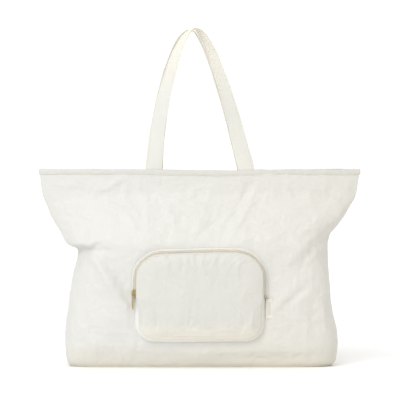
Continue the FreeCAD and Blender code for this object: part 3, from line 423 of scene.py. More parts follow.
nylon = clothFinish("crinkledNylon", nylonLook)
liningNylon = cloth("liningNylon", (0.66, 0.65, 0.61), (0.62, 0.595, 0.53), 0.8)
# painted light: the pouch's foot tint is lighter, to lift the shade under its rounded bottom
pouchNylon = cloth("pouchNylon", (0.625, 0.620, 0.585), (0.600, 0.576, 0.510),
                   foot=(0.83, 0.78, 0.66, 1), footSpan=(0.092, 0.048), wornFoot=0.9)
# painted light: a lighter copy of the nylon for the pouch's downward-facing gusset, and strong painted
# shade towards its right
sideNylon = cloth("pouchSideNylon", (0.79, 0.785, 0.755), (0.75, 0.725, 0.65), warmRight=7.0)
# painted light: a lighter copy of the nylon for the cloth turned back along the zip, lifting the shade
# there
turnedNylon = cloth("turnedNylon", (0.71, 0.705, 0.67), (0.73, 0.70, 0.63))
# painted shade on the strap's edges and painted light towards its crown, in the edge and crown tints
strapNylon = cloth("foldedStrapNylon", (0.685, 0.68, 0.64), (0.65, 0.62, 0.535), 0.25,
                   edge=(0.68, 0.56, 0.34, 1), edgeSpan=(0.0125, 0.0136), topSpan=(0.545, 0.565),
                   crown=(0.83, 0.80, 0.715, 1), crownSpan=(0.44, 0.56), grain=0.00003,
                   weaveRise=0.00001, bigCrease=95.0, smallCrease=240.0)
bindingTape = cloth("bindingTape", (0.625, 0.618, 0.58), (0.595, 0.575, 0.51), 0.4,
                    bigCrease=150.0, smallCrease=320.0)


def zipTapeFinish():
    made = Finish("wovenZipTape", Roughness=0.72, Sheen_Weight=0.3, Specular_IOR_Level=0.3)
    where = made.coords("UV")
    threads = weave(made, where, 0.0006)
    ribs = made.waves(where, "X", waveStep / 0.0011, 1.2)
    made.feed("Base Color", made.mix(
        threads * 0.6 + ribs * 0.3, (0.82, 0.79, 0.71, 1), (0.90, 0.88, 0.82, 1)))
    return made.bump((ribs, 0.00012, 0.6), (threads, 0.00007, 0.5))


def threadFinish():
    made = Finish("sewingThread", Roughness=0.6, Sheen_Weight=0.2)
    ply = made.waves(made.coords(), "DIAGONAL", 900.0, 0.6)
    made.feed("Base Color", made.mix(ply, (0.66, 0.62, 0.53, 1), (0.80, 0.77, 0.69, 1)))
    return made.bump((ply, 0.00008, 0.5))


def coilFinish():
    made = Finish("tanNylonCoil", Specular_IOR_Level=0.55, Coat_Weight=0.15, Coat_Roughness=0.3)
    where = made.coords()
    patch = made.noise(where, 240.0, 3.0, 0.6)
    across = made.part(made.coords("UV"), "X").maths("ABSOLUTE")
    sewn = made.between(across, 0.0007, 0.0013)  # paler outside, where sewing thread covers a coil
    tan = made.mix(patch, (0.60, 0.48, 0.28, 1), (0.72, 0.59, 0.38, 1))
    made.feed("Base Color", made.mix(sewn, tan, (0.90, 0.885, 0.83, 1)))
    made.feed("Roughness", patch * 0.2 + 0.28)
    return made.bump((made.noise(where, 1500.0, 2.0, 0.5), 0.00003, 0.4))


def metalFinish(name, bright, worn, roughness):
    made = Finish(name, Metallic=1.0)
    where = made.coords()
    cast = made.noise(where, 500.0, 4.0, 0.6)
    rub = made.noise(made.coords(scale=(1, 1, 0.15)), 2600.0, 2.0, 0.6)
    made.feed("Base Color", made.mix(cast * 0.8 + rub * 0.3, bright, worn))
    made.feed("Roughness", cast * 0.14 + rub * 0.10 + roughness)
    return made.bump((cast, 0.00005, 0.5), (rub, 0.00002, 0.4))


labelBand = {"X": (0.1162, 0.0022), "Y": (0.0992, 0.0105), "soft": 0.0008}  # middle, half size


def labelFinish():
    # a plain darker band is woven in its middle
    made = Finish("wovenLabel", Roughness=0.55, Sheen_Weight=0.3, Specular_IOR_Level=0.4)
    where = made.coords("UV")
    threads = weave(made, where, 0.00028)
    shade = made.noise(made.coords(), 60.0, 3.0, 0.6)
    plain = made.mix(threads * 0.35 + shade * 0.4, (0.74, 0.715, 0.66, 1), (0.66, 0.63, 0.575, 1))
    inside = []
    for axis in "XY":
        middle, half = labelBand[axis]
        far = (made.part(where, axis) - middle).maths("ABSOLUTE")
        inside.append(made.between(far, half + labelBand["soft"], half))
    band = inside[0] * inside[1]
    made.feed("Base Color", made.mix(band * 0.55, plain, (0.56, 0.51, 0.44, 1)))
    return made.bump((threads, 0.00004, 0.5))


zipTape = zipTapeFinish()
threadLook = threadFinish()
coilNylon = coilFinish()
goldMetal = metalFinish("satinGold", (0.70, 0.56, 0.32, 1), (0.50, 0.39, 0.21, 1), 0.20)
springMetal = metalFinish("brightSpring", (0.68, 0.67, 0.64, 1), (0.52, 0.51, 0.49, 1), 0.18)
labelTape = labelFinish()
print("finishes made")


# walls

frontLow, frontHigh = cadSpan("front_panel")
mouthHigh = float(frontHigh[2])
seatDeep = -float(frontLow[1])  # the flat part of the front wall that carries the pouch

# edges are half widths, and depth, corner and side the section's half depth and powers, all by height
wallCut = {
    "rows": 172, "columns": 276, "ply": 0.5,
    "leftEdge": [(0, 219), (4, 223.5), (14, 226.5), (45, 229), (110, 224), (160, 215.5), (188, 208.5),
                 (196, 208), (200, 211), (204, 219.5), (214, 229.5), (230, 239.5), (264, 258), (298, 269.5),
                 (335, 274)],
    "rightEdge": [(0, 219), (4, 225), (14, 230), (45, 233.5), (95, 226), (130, 220.5), (165, 219),
                  (205, 217.5), (221, 220.5), (239, 234.5), (264, 251.5), (290, 265), (335, 273)],
    "depth": [(0, 49), (4, 52), (18, 57), (40, 61.6), (60, 62), (196, 62), (246, 44.5), (300, 19.5),
              (335, 18.2)],
    "corner": [(0, 9), (40, 7), (150, 6), (200, 5), (246, 3.8), (300, 3.1), (335, 3)],
    "side": [(0, 0.30), (40, 0.33), (150, 0.40), (200, 0.50), (246, 0.74), (300, 1), (335, 1)],
    "footRound": 5.0, "sag": 3.8, "backHigher": 0.9,
    "lip": [(-280, -0.4), (-120, -0.5), (-20, -1), (50, -1.05), (110, -0.75), (180, -0.45), (280, -0.5)],
}
# each fold is its path in x and z, its width to the left and right of that path, its rise, and for
# a step fold the width of its edge
frontFolds = [
    ([(-250, 222), (-214, 201), (-190, 203), (-160, 214)], 14, 16, 5.4, 3.5),
    ([(-204, 190), (-203, 172), (-197, 148)], 6, 8, -3.2),
    ([(-196, 214), (-176, 178), (-160, 146), (-146, 118)], 12, 10, 3.6),
    ([(-178, 200), (-156, 160), (-134, 126), (-112, 96)], 26, 20, -5.4, 9),
    ([(-164, 150), (-146, 128), (-130, 106)], 7, 5, 1.4),
    ([(256, 262), (214, 232), (180, 202), (146, 160)], 32, 20, -5.4, 9),
    ([(236, 226), (200, 200), (172, 168)], 8, 12, 2.2),
    ([(214, 262), (190, 240), (160, 224)], 9, 8, 1.4),
    ([(178, 150), (152, 122), (118, 84)], 18, 14, -2.8, 7),
    ([(196, 140), (170, 112), (150, 96)], 10, 6, 1.3),
    ([(99, 326), (86, 282), (66, 246), (46, 204)], 6, 10, 2.1),
    ([(80, 318), (68, 282), (48, 246), (34, 214)], 9, 5, -1.7),
    ([(30, 318), (14, 282), (-2, 244), (-12, 204)], 7, 9, 1.0),
    ([(-30, 250), (-8, 268), (22, 286)], 4, 7, 1.5),
    ([(-14, 210), (12, 236), (50, 260)], 6, 4, -1.4),
    ([(-104, 332), (-132, 316), (-152, 300), (-176, 282)], 14, 12, -2.6, 7),
    ([(-268, 280), (-214, 272), (-170, 266), (-130, 262)], 6, 6, 1.3),
    ([(-250, 258), (-200, 250), (-150, 250)], 6, 6, -1.2),
    ([(-90, 312), (-87, 270), (-86, 214)], 5, 5, 0.8),
    ([(104, 212), (126, 222), (152, 230)], 5, 7, 1.4),
    ([(120, 262), (160, 268), (206, 284)], 8, 8, 1.2),
    ([(206, 302), (232, 284), (258, 270)], 8, 6, -1.6),
    ([(-214, 110), (-204, 74), (-182, 44), (-160, 28)], 7, 10, 2.0),
    ([(-198, 100), (-188, 72), (-164, 50)], 5, 6, -1.5),
    ([(-170, 96), (-150, 84), (-126, 78)], 6, 6, 1.4),
    ([(-160, 60), (-132, 42), (-110, 18)], 6, 7, -1.4),
    ([(-70, 32), (0, 27), (70, 31), (150, 26)], 8, 6, 1.4),
    ([(30, 20), (120, 15), (206, 20)], 6, 6, -1.4),
    ([(214, 156), (206, 110), (216, 60)], 10, 8, 1.6),
    ([(196, 120), (190, 84), (196, 44)], 8, 8, -1.3),
]
backFolds = [
    ([(-236, 226), (-208, 206), (-176, 196)], 12, 3.5, 6.5),
    ([(-196, 190), (-176, 150), (-168, 112)], 6, 9, -4.5),
    ([(240, 240), (206, 208), (180, 190), (166, 158)], 9, 4, -6.5),
    ([(226, 222), (196, 192), (182, 160)], 4, 10, 4.5),
    ([(-80, 322), (-66, 270), (-34, 212)], 5, 9, 3.6),
    ([(84, 324), (62, 262), (20, 204), (-14, 150)], 8, 5, -3.4),
    ([(-150, 250), (-70, 230), (20, 244), (90, 232)], 6, 6, 2.4),
    ([(-120, 150), (-40, 128), (40, 96)], 7, 6, 3.0),
    ([(120, 170), (70, 120), (50, 66)], 6, 8, -3.0),
    ([(-190, 90), (-130, 64), (-90, 22)], 6, 8, -3.0),
    ([(-60, 60), (20, 46), (110, 62)], 8, 6, 2.2),
    ([(150, 110), (176, 70), (206, 40)], 6, 6, 2.8),
    ([(30, 316), (16, 286), (24, 250)], 5, 5, -2.0),
]

pouch = {
    "half": 109.0, "low": 43.0, "high": 195.0, "foot": 32.0, "tilt": 55.0,
    "zipEnd": float(cadSpan("zipper_tape_outer")[0][2]),
    "tapeOut": 8.6, "tapeIn": 7.2, "gap": 0.3, "tapeThick": 0.5, "split": 0.9,
}
pouch["round"] = 0.31 * (pouch["high"] - pouch["low"])
tilt = math.radians(pouch["tilt"])
zipOut = pouch["gap"] + pouch["tapeThick"] + pouch["tapeOut"] * math.sin(tilt)


def insidePouch(x, z):
    # signed distance to the pouch's outline, below 0 inside: a box with round corners
    middle = (pouch["high"] + pouch["low"]) / 2
    radius = np.where(z > middle, pouch["round"], pouch["foot"])
    dx = np.abs(x) - (pouch["half"] - radius)
    dz = np.abs(z - middle) - ((pouch["high"] - pouch["low"]) / 2 - radius)
    outside = np.hypot(np.maximum(dx, 0), np.maximum(dz, 0))
    return outside + np.minimum(np.maximum(dx, dz), 0) - radius


def wallHeights():  # close rows round the foot's curve, then even ones
    low = np.array([0.35, 1.0, 2.0, 3.2, 4.6, 6.2, 8.0])
    return np.concatenate([low, np.linspace(10, mouthHigh, wallCut["rows"] - len(low))])


def wallSurface(side):
    # section at each height: x = half * X, y = side * depth * (1 - |X|^corner)^side power,
    # evenly spaced along its length; the foot is rounded under by a quarter circle
    z = wallHeights()
    X = np.sin(np.linspace(-math.pi / 2, math.pi / 2, 1601))[None, :]
    under = wallCut["footRound"] - np.sqrt(
        wallCut["footRound"] ** 2 - np.clip(wallCut["footRound"] - z, 0, None) ** 2)
    left = (curveThrough(z, wallCut["leftEdge"]) - under * 0.4)[:, None]
    right = (curveThrough(z, wallCut["rightEdge"]) - under * 0.4)[:, None]
    deep = (curveThrough(z, wallCut["depth"]) - under * 0.6)[:, None]
    corner = curveThrough(z, wallCut["corner"])[:, None]
    power = curveThrough(z, wallCut["side"])[:, None]
    x = X * np.where(X < 0, left, right)
    y = deep * np.clip(1 - np.abs(X) ** corner, 0, 1) ** power
    reach = np.concatenate([np.zeros((len(z), 1)), np.cumsum(np.hypot(np.diff(x), np.diff(y)), axis=1)], 1)
    even = np.linspace(0, 1, wallCut["columns"])
    xs = np.stack([np.interp(even * r[-1], r, row) for r, row in zip(reach, x)])
    ys = np.stack([np.interp(even * r[-1], r, row) for r, row in zip(reach, y)])
    zs = np.repeat(z[:, None], len(even), 1)
    around = (even[None, :] - 0.5) * reach[:, -1:]
    points = np.stack([xs, side * ys, zs], -1)

    outward = unit(np.cross(np.gradient(points, axis=1), np.gradient(points, axis=0))) * -side
    edge = np.minimum(even, 1 - even)[None, :] * reach[:, -1:]  # distance from the side seam
    free = ease(0, 16, edge) * ease(0.5, 9, zs) * (1 - 0.62 * ease(304, 326, zs))
    folds = frontFolds if side < 0 else backFolds
    seed = 11 if side < 0 else 47
    bentX = xs + 5 * lumps(around, zs, 36, seed + 1) + 2 * lumps(around, zs, 13, seed + 4)
    bentZ = zs + 5 * lumps(around, zs, 36, seed + 2) + 2 * lumps(around, zs, 13, seed + 5)
    push = sum(foldAlong(bentX, bentZ, *fold) for fold in folds)
    push = push + 1.0 * crumple(around, zs, 62, seed, octaves=2, fade=0.6)
    push = push + 1.0 * lumps(around, zs, 70, seed + 9)
    push = push + 0.70 * crumple(around, zs, 24, seed + 20, octaves=2, fade=0.5)
    push = push + 0.40 * crumple(around, zs, 9.5, seed + 30, octaves=2, fade=0.5)
    upright = ease(-0.5, 0.5, lumps(around, zs, 80, seed + 41))
    push = push + 0.55 * upright * crumple(around, zs * 0.3, 11, seed + 40, octaves=2, fade=0.5)
    if side < 0:  # almost still under the pouch
        free = free * (0.06 + 0.94 * ease(1, 15, insidePouch(xs, zs)))
    points = points + outward * (push * free)[..., None]
    seam = 0.9 * lumps(zs, zs * 0, 21, 5) * ease(6, 30, zs)  # the side seams waver alike on both walls
    points[..., 0] += seam * (1 - ease(0, 18, edge)) * np.sign(xs)
    higher = wallCut["backHigher"] if side > 0 else 0.0
    points[..., 2] += wallCut["sag"] * curveThrough(xs, wallCut["lip"]) * ease(150, mouthHigh, zs)
    points[..., 2] += higher * ease(250, 335, zs)
    points[..., 2] += 0.5 * lumps(xs, xs * 0, 26, seed + 3) * ease(280, mouthHigh, zs)
    return points, np.stack([around, zs], -1)


walls = {}
for sideName, side in (("front", -1), ("back", 1)):
    points, clothMap = wallSurface(side)
    walls[side] = points
    rows, columns = points.shape[:2]
    faces = gridFaces(rows, columns, flip=side > 0)
    piece = makePiece(sideName + "Wall", points, faces, "bag", nylon, [sideName + "_panel"],
                      clothMap)
    thicken(piece, wallCut["ply"])
print("walls made")


# base

def baseSheet():
    # ruled between the walls' lowest rows, a little lifted in soft waves inside
    front, back = walls[-1][0], walls[1][0]
    share = np.linspace(0, 1, 60)[:, None, None]
    points = front[None] * (1 - share) + back[None] * share
    inside = np.clip(4 * share[..., 0] * (1 - share[..., 0]), 0, 1)
    x, y = points[..., 0], points[..., 1]
    wave = 0.5 + 0.5 * lumps(x, y, 45, 71)
    points[..., 2] = 0.02 + inside * wave * 0.9 + 0.25 * inside * (1 + lumps(x, y, 14, 72))
    return points


points = baseSheet()
piece = makePiece("baseSheet", points, gridFaces(*points.shape[:2], flip=True), "bag", nylon,
                  ["base_panel"], points[..., :2])
thicken(piece, 0.6)

# a welt where the base is sewn to the walls
ring = np.concatenate([walls[-1][2], walls[1][2][::-1][1:-1]])
outFlat = sideOf(ring)
turn = np.arange(10) / 10 * 2 * math.pi
girth = (1.0 + 0.16 * lumps(np.arange(len(ring)) * 2.2, np.zeros(len(ring)), 7, 81))[:, None]
points = (ring[:, None] + outFlat[:, None] * (girth * np.cos(turn) * 0.9)[..., None]
          + np.array([0, 0, 1.0]) * (girth * np.sin(turn))[..., None])
points[..., 2] = np.maximum(points[..., 2] - 0.6, 0.15)
makePiece("baseWelt", points, gridFaces(len(ring), 10, True, True, flip=True), "bag", nylon)


def ribbon(name, centre, wide, deep, node, ripple, seed, closed=False, flip=False):
    # a bound seam: a strip carried along a line, with wide and deep its width's and thickness's ways
    width, thickness = seamTape["width"], seamTape["thickness"]
    across = np.linspace(-0.5, 0.5, 9)
    loop = np.concatenate([across, across[::-1]])
    sign = np.concatenate([np.full(9, -0.5), np.full(9, 0.5)])
    thin = 1 - 0.5 * np.abs(loop * 2) ** 6
    place = np.arange(len(centre))[:, None] * np.ones(18)
    wave = ripple * lumps(place * 1.3, loop[None] * 9 + place * 0, 6, seed)
    points = (centre[:, None] + wide[:, None] * (loop * width)[None, :, None]
              + deep[:, None] * (sign * thin * thickness + wave)[..., None])
    uv = np.stack([place * 1.5, loop * width + place * 0], -1)
    if closed:
        faces = gridFaces(len(centre), 18, True, True)
    else:
        faces = tubeFaces(len(centre), 18, flip=flip)
    makePiece(name, points, faces, "bag", bindingTape, [node], uv)


seamTape = {"width": 7.0, "thickness": 1.1, "inward": 4.0, "high": 4.9, "sideLow": 12, "sideHigh": 303}

# bound seams inside: round the base and up both sides
loops = {s: alongLine(walls[s][5], 1.5)[0] for s in (-1, 1)}
ring = np.concatenate([loops[-1], loops[1][::-1][1:-1]])
outFlat = sideOf(ring)
centre = ring * [1, 1, 0] - outFlat * seamTape["inward"] + [0, 0, seamTape["high"]]
upward = unit(np.array([0, 0, 1.0]) - outFlat * 0.15)
ribbon("baseBinding", centre, upward, outFlat, "base_seam_binding", 0.35, 5, closed=True)
for name, column, hand in (("left", 0, -1), ("right", -1, 1)):
    seam = walls[-1][:, column]
    seam = seam[(seam[:, 2] > seamTape["sideLow"]) & (seam[:, 2] < seamTape["sideHigh"])]
    seam, ahead, _ = alongLine(seam * [1, 0, 1], 1.5)
    inward = unit(np.cross(ahead, [0, hand, 0]))
    inward = inward * np.sign(-inward[:, :1] * hand)
    slope = curveThrough(seam[:, 2], [(0, 1.6), (150, 2.2), (210, 2.2), (246, 3.4), (305, 9.5)])
    centre = seam + inward * (slope + seamTape["width"] / 2)[:, None]
    sideways = np.tile([0.0, 1.0, 0.0], (len(seam), 1))
    ribbon(name + "SeamBinding", centre, inward, sideways, "side_seam_binding_" + name, 0.3, 9 + column,
           flip=hand > 0)
print("base and seams made")


# mouth

mouthTape = {"cover": 8.5, "outside": 0.55, "inside": 1.15, "top": 0.75, "rowDown": 6.9, "pitch": 2.9}


def mouthLine(side):  # the wall's top row, and the level way out from it
    line = walls[side][-1]
    ahead = unit(np.gradient(line, axis=0))
    out = unit(np.stack([ahead[:, 1], -ahead[:, 0], ahead[:, 0] * 0], -1)) * -side
    return line, out * np.array([1, 1, 0])


def mouthBinding(side):
    # a folded tape: its section runs up the outside, over the edge and down the inside
    line, out = mouthLine(side)
    out = np.where((out[:, 1:2] * side) > 0, out, -out)
    t = np.linspace(0, 1, 15)[:, None]
    outer = np.concatenate([mouthTape["outside"] + 0 * t, -mouthTape["cover"] * (1 - t)], 1)
    arc = np.linspace(0, math.pi, 9)[1:-1][:, None]
    half = (mouthTape["outside"] + mouthTape["inside"]) / 2
    over = np.concatenate([half * np.cos(arc) - (mouthTape["inside"] - mouthTape["outside"]) / 2,
                           mouthTape["top"] * np.sin(arc)], 1)
    inner = np.concatenate([-mouthTape["inside"] + 0 * t, -mouthTape["cover"] * t], 1)
    foot = -mouthTape["cover"] + 0.1
    channel = np.array([[-0.6, foot], [-0.6, -0.3], [0.05, -0.3], [0.05, foot]])  # where the wall goes in
    section = np.concatenate([outer, over, inner, channel])
    outFace, down = section[:, 0], section[:, 1]
    groove = np.exp(-((down + mouthTape["rowDown"]) / 0.7) ** 2)
    pinch = 0.5 + 0.5 * np.cos(np.arange(len(line)) * 2.0 / mouthTape["pitch"] * 2 * math.pi)  # stitches
    visible = np.concatenate([np.ones(len(outer) + len(over) + len(inner)), np.zeros(4)])
    puff = 0.30 * np.sin(np.clip(-down / mouthTape["cover"], 0, 1) * math.pi) - 0.42 * groove
    index = np.arange(len(line))[:, None]
    wave = 0.22 * lumps(index * 2.0, down[None] * 1.6, 6, 33 + side) + 0.12 * pinch[:, None] * groove
    bulge = (puff[None] + wave) * visible * np.sign(outFace + 0.3)
    fall = down + 0.3 * lumps(index * 2.0, index * 0.0, 11, 37 + side) * (down < -6) * visible
    points = line[:, None] + out[:, None] * (outFace + bulge)[..., None]
    points[..., 2] += fall
    uv = np.stack([index * 2.0 + down * 0, np.cumsum(np.ones(len(section)))[None] * 0.6 + index * 0.0], -1)
    faces = tubeFaces(len(line), len(section), flip=side < 0)
    name = "front" if side < 0 else "back"
    makePiece(name + "MouthBinding", points, faces, "bag", bindingTape,
              ["mouth_binding_" + name], uv)
    rows = []
    for offset, way in ((mouthTape["outside"] - 0.18, 1), (-mouthTape["inside"] + 0.18, -1)):
        row = line + out * offset
        row[:, 2] -= mouthTape["rowDown"]
        rows.append((row[2:-2], out[2:-2] * way))
    stitches(name + "MouthStitches", rows, "bag", mouthTape["pitch"], 0.22, threadLook)


for side in (-1, 1):
    mouthBinding(side)
print("mouth made")


# straps

strap = {
    "width": 28.0, "thickness": 1.6, "half": 78.0, "plane": 16.0, "footHigh": 336.0, "tail": 309.6,
    "crownHigh": 572.2, "crownOut": 15.5, "lean": -9.0, "stagger": -5.0, "row": 3.0, "pitch": 3.2,
    "hinge": 0.0182, "bendLow": 0.3352, "bendHigh": 0.3440,
}


def bezier(a, b, c, d, t):  # s^3 * a + 3 * s^2 * t * b + 3 * s * t^2 * c + t^3 * d, s = 1 - t
    s = 1 - t
    return a * s**3 + 3 * b * s * s * t + 3 * c * s * t * t + d * t**3


def strapLine(side):
    # up one leg, over the crown and down the other, with the strap's twist along it
    lean = strap["lean"] + (strap["stagger"] if side > 0 else 0)
    crown = np.array([lean, side * strap["crownOut"], strap["crownHigh"]])
    places, twists = [], []
    t = np.linspace(0, 1, 160)[:, None]
    turned = 146 * t - 184 * t**2 + 128 * t**3
    for hand, leave, arrive in ((-1, (2, 0, 84), (-31, 0, 0)), (1, (-16, 0, 64), (29, 0, 0))):
        foot = np.array([hand * strap["half"], side * strap["plane"], strap["footHigh"]])
        leg = bezier(foot, foot + leave, crown + arrive, crown, t)
        tail = foot * [1, 1, 0] + np.linspace(strap["tail"], strap["footHigh"], 20)[:-1, None] * [0, 0, 1]
        places.append(np.concatenate([tail, leg]))
        twists.append(np.concatenate([np.zeros(19), turned[:, 0]]))
    line = np.concatenate([places[0], places[1][::-1][1:]])
    twist = np.concatenate([twists[0], 180 - twists[1][::-1][1:]])
    reach = reachOf(line)
    even = np.linspace(0, reach[-1], int(reach[-1] / 1.5))
    line = alongAt(even, reach, line)
    twist = np.radians(np.interp(even, reach, twist))
    soft = np.ones(9) / 9
    twist = np.convolve(np.pad(twist, 4, mode="edge"), soft, "valid")
    ahead = unit(np.gradient(line, axis=0))
    flat = np.tile([0.0, float(side), 0.0], (len(line), 1))
    level = unit(np.cross(ahead, flat))
    wide = level * np.cos(twist)[:, None] - flat * (np.sin(twist) * side)[:, None]
    wide = unit(wide - ahead * (wide * ahead).sum(1, keepdims=True))
    return line, wide, np.cross(ahead, wide), even


def makeStrap(name, side):
    # a flat loop, w = half * cos and n = body * (1 - (w / half)^16)^(1/2), pinched at both rows
    line, wide, thick, even = strapLine(side)
    turn = np.linspace(0, 2 * math.pi, 72, endpoint=False)
    half, body = strap["width"] / 2, strap["thickness"] / 2
    w = half * np.cos(turn)
    n = body * np.sign(np.sin(turn)) * np.clip(1 - np.abs(w / half) ** 16, 0, 1) ** 0.5
    row = np.exp(-((np.abs(w) - (half - strap["row"])) / 0.8) ** 2)
    n = n * (1 - 0.38 * row)
    along = even[:, None]
    wave = 0.16 * crumple(along + 0 * w, w + along * 0, 17, 61 + side, octaves=3) * (1 - row)
    wave = wave + 0.35 * lumps(along + 0 * w, w * 0.4 + along * 0, 30, 65 + side)
    waver = 0.35 * lumps(along, along * 0, 24, 68 + side)
    calm = ease(strap["tail"] - 1, strap["footHigh"] + 16, line[:, 2])[:, None]
    points = (line[:, None] + wide[:, None] * (w + waver * calm)[..., None]
              + thick[:, None] * (n + wave * calm * 0.9)[..., None])
    uv = np.stack([w + along * 0, along + w * 0], -1)
    bodyName = name.split("Strap")[0] + "_strap"
    piece = makePiece(name, points, tubeFaces(len(line), len(turn)), None, strapNylon,
                      [bodyName, bodyName + "_tails"], uv)
    hinge = side * strap["hinge"]
    bend = ("bag", bodyName, (0, hinge, strap["bendLow"]), (0, hinge, strap["bendHigh"]))
    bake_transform(piece)
    rows = []
    for edge in (-1, 1):
        for face in (-1, 1):
            path = line + wide * (edge * (half - strap["row"]) + waver * calm)
            path = path + thick * face * (body * 0.52)
            rows.append((path[4:-4], thick[4:-4] * face))
    stitches(name + "Stitches", rows, "bag", strap["pitch"], 0.2, threadLook, blend=bend)


for side, name in ((-1, "frontStrap"), (1, "backStrap")):
    makeStrap(name, side)


def onWall(side, x, z):  # the wall's y at an x and z on its broad face
    grid = walls[side]
    rowAt = np.interp(z, grid[:, grid.shape[1] // 2, 2], np.arange(len(grid)))
    low = np.clip(rowAt.astype(int), 0, len(grid) - 2)
    share = rowAt - low
    near = np.array([np.interp(a, grid[r, :, 0], grid[r, :, 1]) for a, r in zip(x, low)])
    far = np.array([np.interp(a, grid[r, :, 0], grid[r, :, 1]) for a, r in zip(x, low + 1)])
    return near * (1 - share) + far * share


def boxStitches(side, name):
    # a box with a cross in it at each strap end
    low, high = (corner[2] for corner in cadSpan(name + "_strap_stitching"))
    half, rows = 10.5, []
    for hand in (-1, 1):
        mid = hand * strap["half"]
        a, b, c, d = (mid - half, low), (mid + half, low), (mid + half, high), (mid - half, high)
        for start, end in ((a, b), (b, c), (c, d), (d, a), (a, c), (b, d)):
            t = np.linspace(0, 1, 12)
            x, z = start[0] + (end[0] - start[0]) * t, start[1] + (end[1] - start[1]) * t
            rows.append((np.stack([x, onWall(side, x, z), z], -1), np.tile([0, side, 0], (12, 1))))
    piece = stitches(name + "BoxStitches", rows, "bag", 2.6, 0.22, threadLook)
    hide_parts(name + "_strap_stitching")


boxStitches(-1, "front")
boxStitches(1, "back")
print("straps made")


# pouch and zip

def settle(x, z):  # how the sewn pouch wavers from its straight pattern, nothing near the slider
    loose = ease(-96, -70, x) + (1 - ease(-96, -70, x)) * ease(160, 185, z)
    top = ease(150, 195, z)
    dx = 0.9 * lumps(z, z * 0, 34, 91) * loose * ease(-20, 60, np.abs(x))
    upper = (1.3 * np.sin(x / 34 + 0.6) - 0.8) * top
    lower = 0.8 * lumps(x, x * 0, 40, 92) * (1 - top)
    return dx, (upper + lower) * loose


def zipPlace(line, out, across, proud):
    # across runs over the tape away from the pouch's middle, proud stands out of the tape's face
    reach = across * math.cos(tilt) + proud * math.sin(tilt)
    x = line[:, None, 0] + out[:, None, 0] * reach
    z = line[:, None, 1] + out[:, None, 1] * reach
    y = -(seatDeep + zipOut - across * math.sin(tilt) + proud * math.cos(tilt)) + 0 * x
    dx, dz = settle(x, z)
    return np.stack([x + dx, y, z + dz], -1)


half, high, end = pouch["half"], pouch["high"], pouch["zipEnd"]
archCorners = [(-half, end), (-half, high), (half, high), (half, end)]
arch, archOut, archReach = roundedLine(archCorners, [pouch["round"]] * 2, 1.4)


def zipStrip(name, inner, outer, low, high, finish, nodes, ripple=0.0, roll=0.0, seed=1):
    # a closed strip along the zip between two distances across it
    across = np.linspace(inner, outer, 12)
    loop = np.concatenate([across, across[::-1]])
    up = np.concatenate([np.full(12, low), np.full(12, high)])
    share = (loop - inner) / (outer - inner)
    edge = 1 - 0.45 * np.abs(2 * share - 1) ** 8
    middle = (low + high) / 2
    up = middle + (up - middle) * edge
    reach = archReach[:, None]
    wave = ripple * lumps(reach + 0 * loop, share * 5 + reach * 0, 8, seed)
    rolled = roll * np.exp(-((share - (0 if outer > 0 else 1)) / 0.16) ** 2)
    points = zipPlace(arch, archOut, loop[None] + 0 * reach, up[None] + wave + rolled)
    uv = np.stack([loop + reach * 0, reach + loop * 0], -1)
    faces = tubeFaces(len(arch), len(loop))
    return makePiece(name, points, faces, "bag", finish, nodes, uv)


zipStrip("outerZipTape", pouch["split"], 7.9, -0.5, -0.02, zipTape, ["zipper_tape_outer"])
zipStrip("innerZipTape", -pouch["tapeIn"], -pouch["split"], -0.5, -0.02, zipTape,
         ["zipper_tape_inner"])
# the gusset's cloth is turned back along the chain and covers the outer tape down to the wall, in the
# painted-light copy of the nylon
zipStrip("zipGusset", 3.78, 9.35, 0.05, 0.7, turnedNylon, [], 0.2, 0.25, 14)


def coilTeeth(name, hand, node):
    # each tooth is a bent bar over the chain's middle: across = 2.35 - 2.85 * t, raised in its middle
    pitch, rings, sides = 1.45, 7, 6
    low = cadSpan(node)[0]
    t = np.linspace(0, 1, rings)
    bar = np.stack([hand * (2.35 - 2.85 * t), 0.62 + 0.62 * np.sin(math.pi * t) ** 0.7], -1)
    girth = 0.46 * (1 - 0.35 * np.abs(2 * t - 1) ** 4)
    girth[-1] = 0.30
    turn = np.arange(sides) / sides * 2 * math.pi
    slope = unit(np.gradient(bar, axis=0))
    normal = np.stack([-slope[:, 1], slope[:, 0]], -1)
    ring = bar[:, None] + normal[:, None] * (girth[:, None] * np.cos(turn))[..., None]
    lengthwise = girth[:, None] * np.sin(turn) * 1.1
    start = float(low[2]) + 1.5 - end
    stop = archReach[-1] - 4.8
    at = np.arange(start + (pitch / 2 if hand > 0 else 0), stop, pitch)
    place, out = alongAt(at, archReach, arch), unit(alongAt(at, archReach, archOut))
    ahead = np.stack([out[:, 1], -out[:, 0]], -1)
    across, proud = (axis[None] + 0 * at[:, None] for axis in ring.reshape(-1, 2).T)
    flatLong = lengthwise.reshape(-1)
    points = zipPlace(place, out, across, proud)
    points[..., 0] += ahead[:, None, 0] * flatLong
    points[..., 2] += ahead[:, None, 1] * flatLong
    uv = np.stack([across, at[:, None] + flatLong[None]], -1)
    one = tubeFaces(rings, sides)
    faces = [[i + k * rings * sides for i in face] for k in range(len(at)) for face in one]
    makePiece(name, points, faces, "bag", coilNylon, [node], uv)


coilTeeth("outerCoil", 1, "zipper_coil_outer")
coilTeeth("innerCoil", -1, "zipper_coil_inner")


def archRow(across, proud):  # the arch's line, moved across the tape and proud of it
    return zipPlace(arch, archOut, np.full((len(arch), 1), across), np.full((len(arch), 1), proud))[:, 0]


# thread that holds each coil to its tape, and the row that holds the cloth
tapeOut = np.stack([archOut[:, 0] * math.sin(tilt), np.full(len(arch), -math.cos(tilt)),
                    archOut[:, 1] * math.sin(tilt)], -1)
rows = [(archRow(across, 0.02)[5:-4], tapeOut[5:-4]) for across in (2.75, -2.75)]
stitches("coilStitches", rows, "bag", 1.9, 0.15, threadLook)
stitches("gussetStitches", [(archRow(5.3, 0.72)[1:-1], tapeOut[1:-1])], "bag", 2.8, 0.2, threadLook)

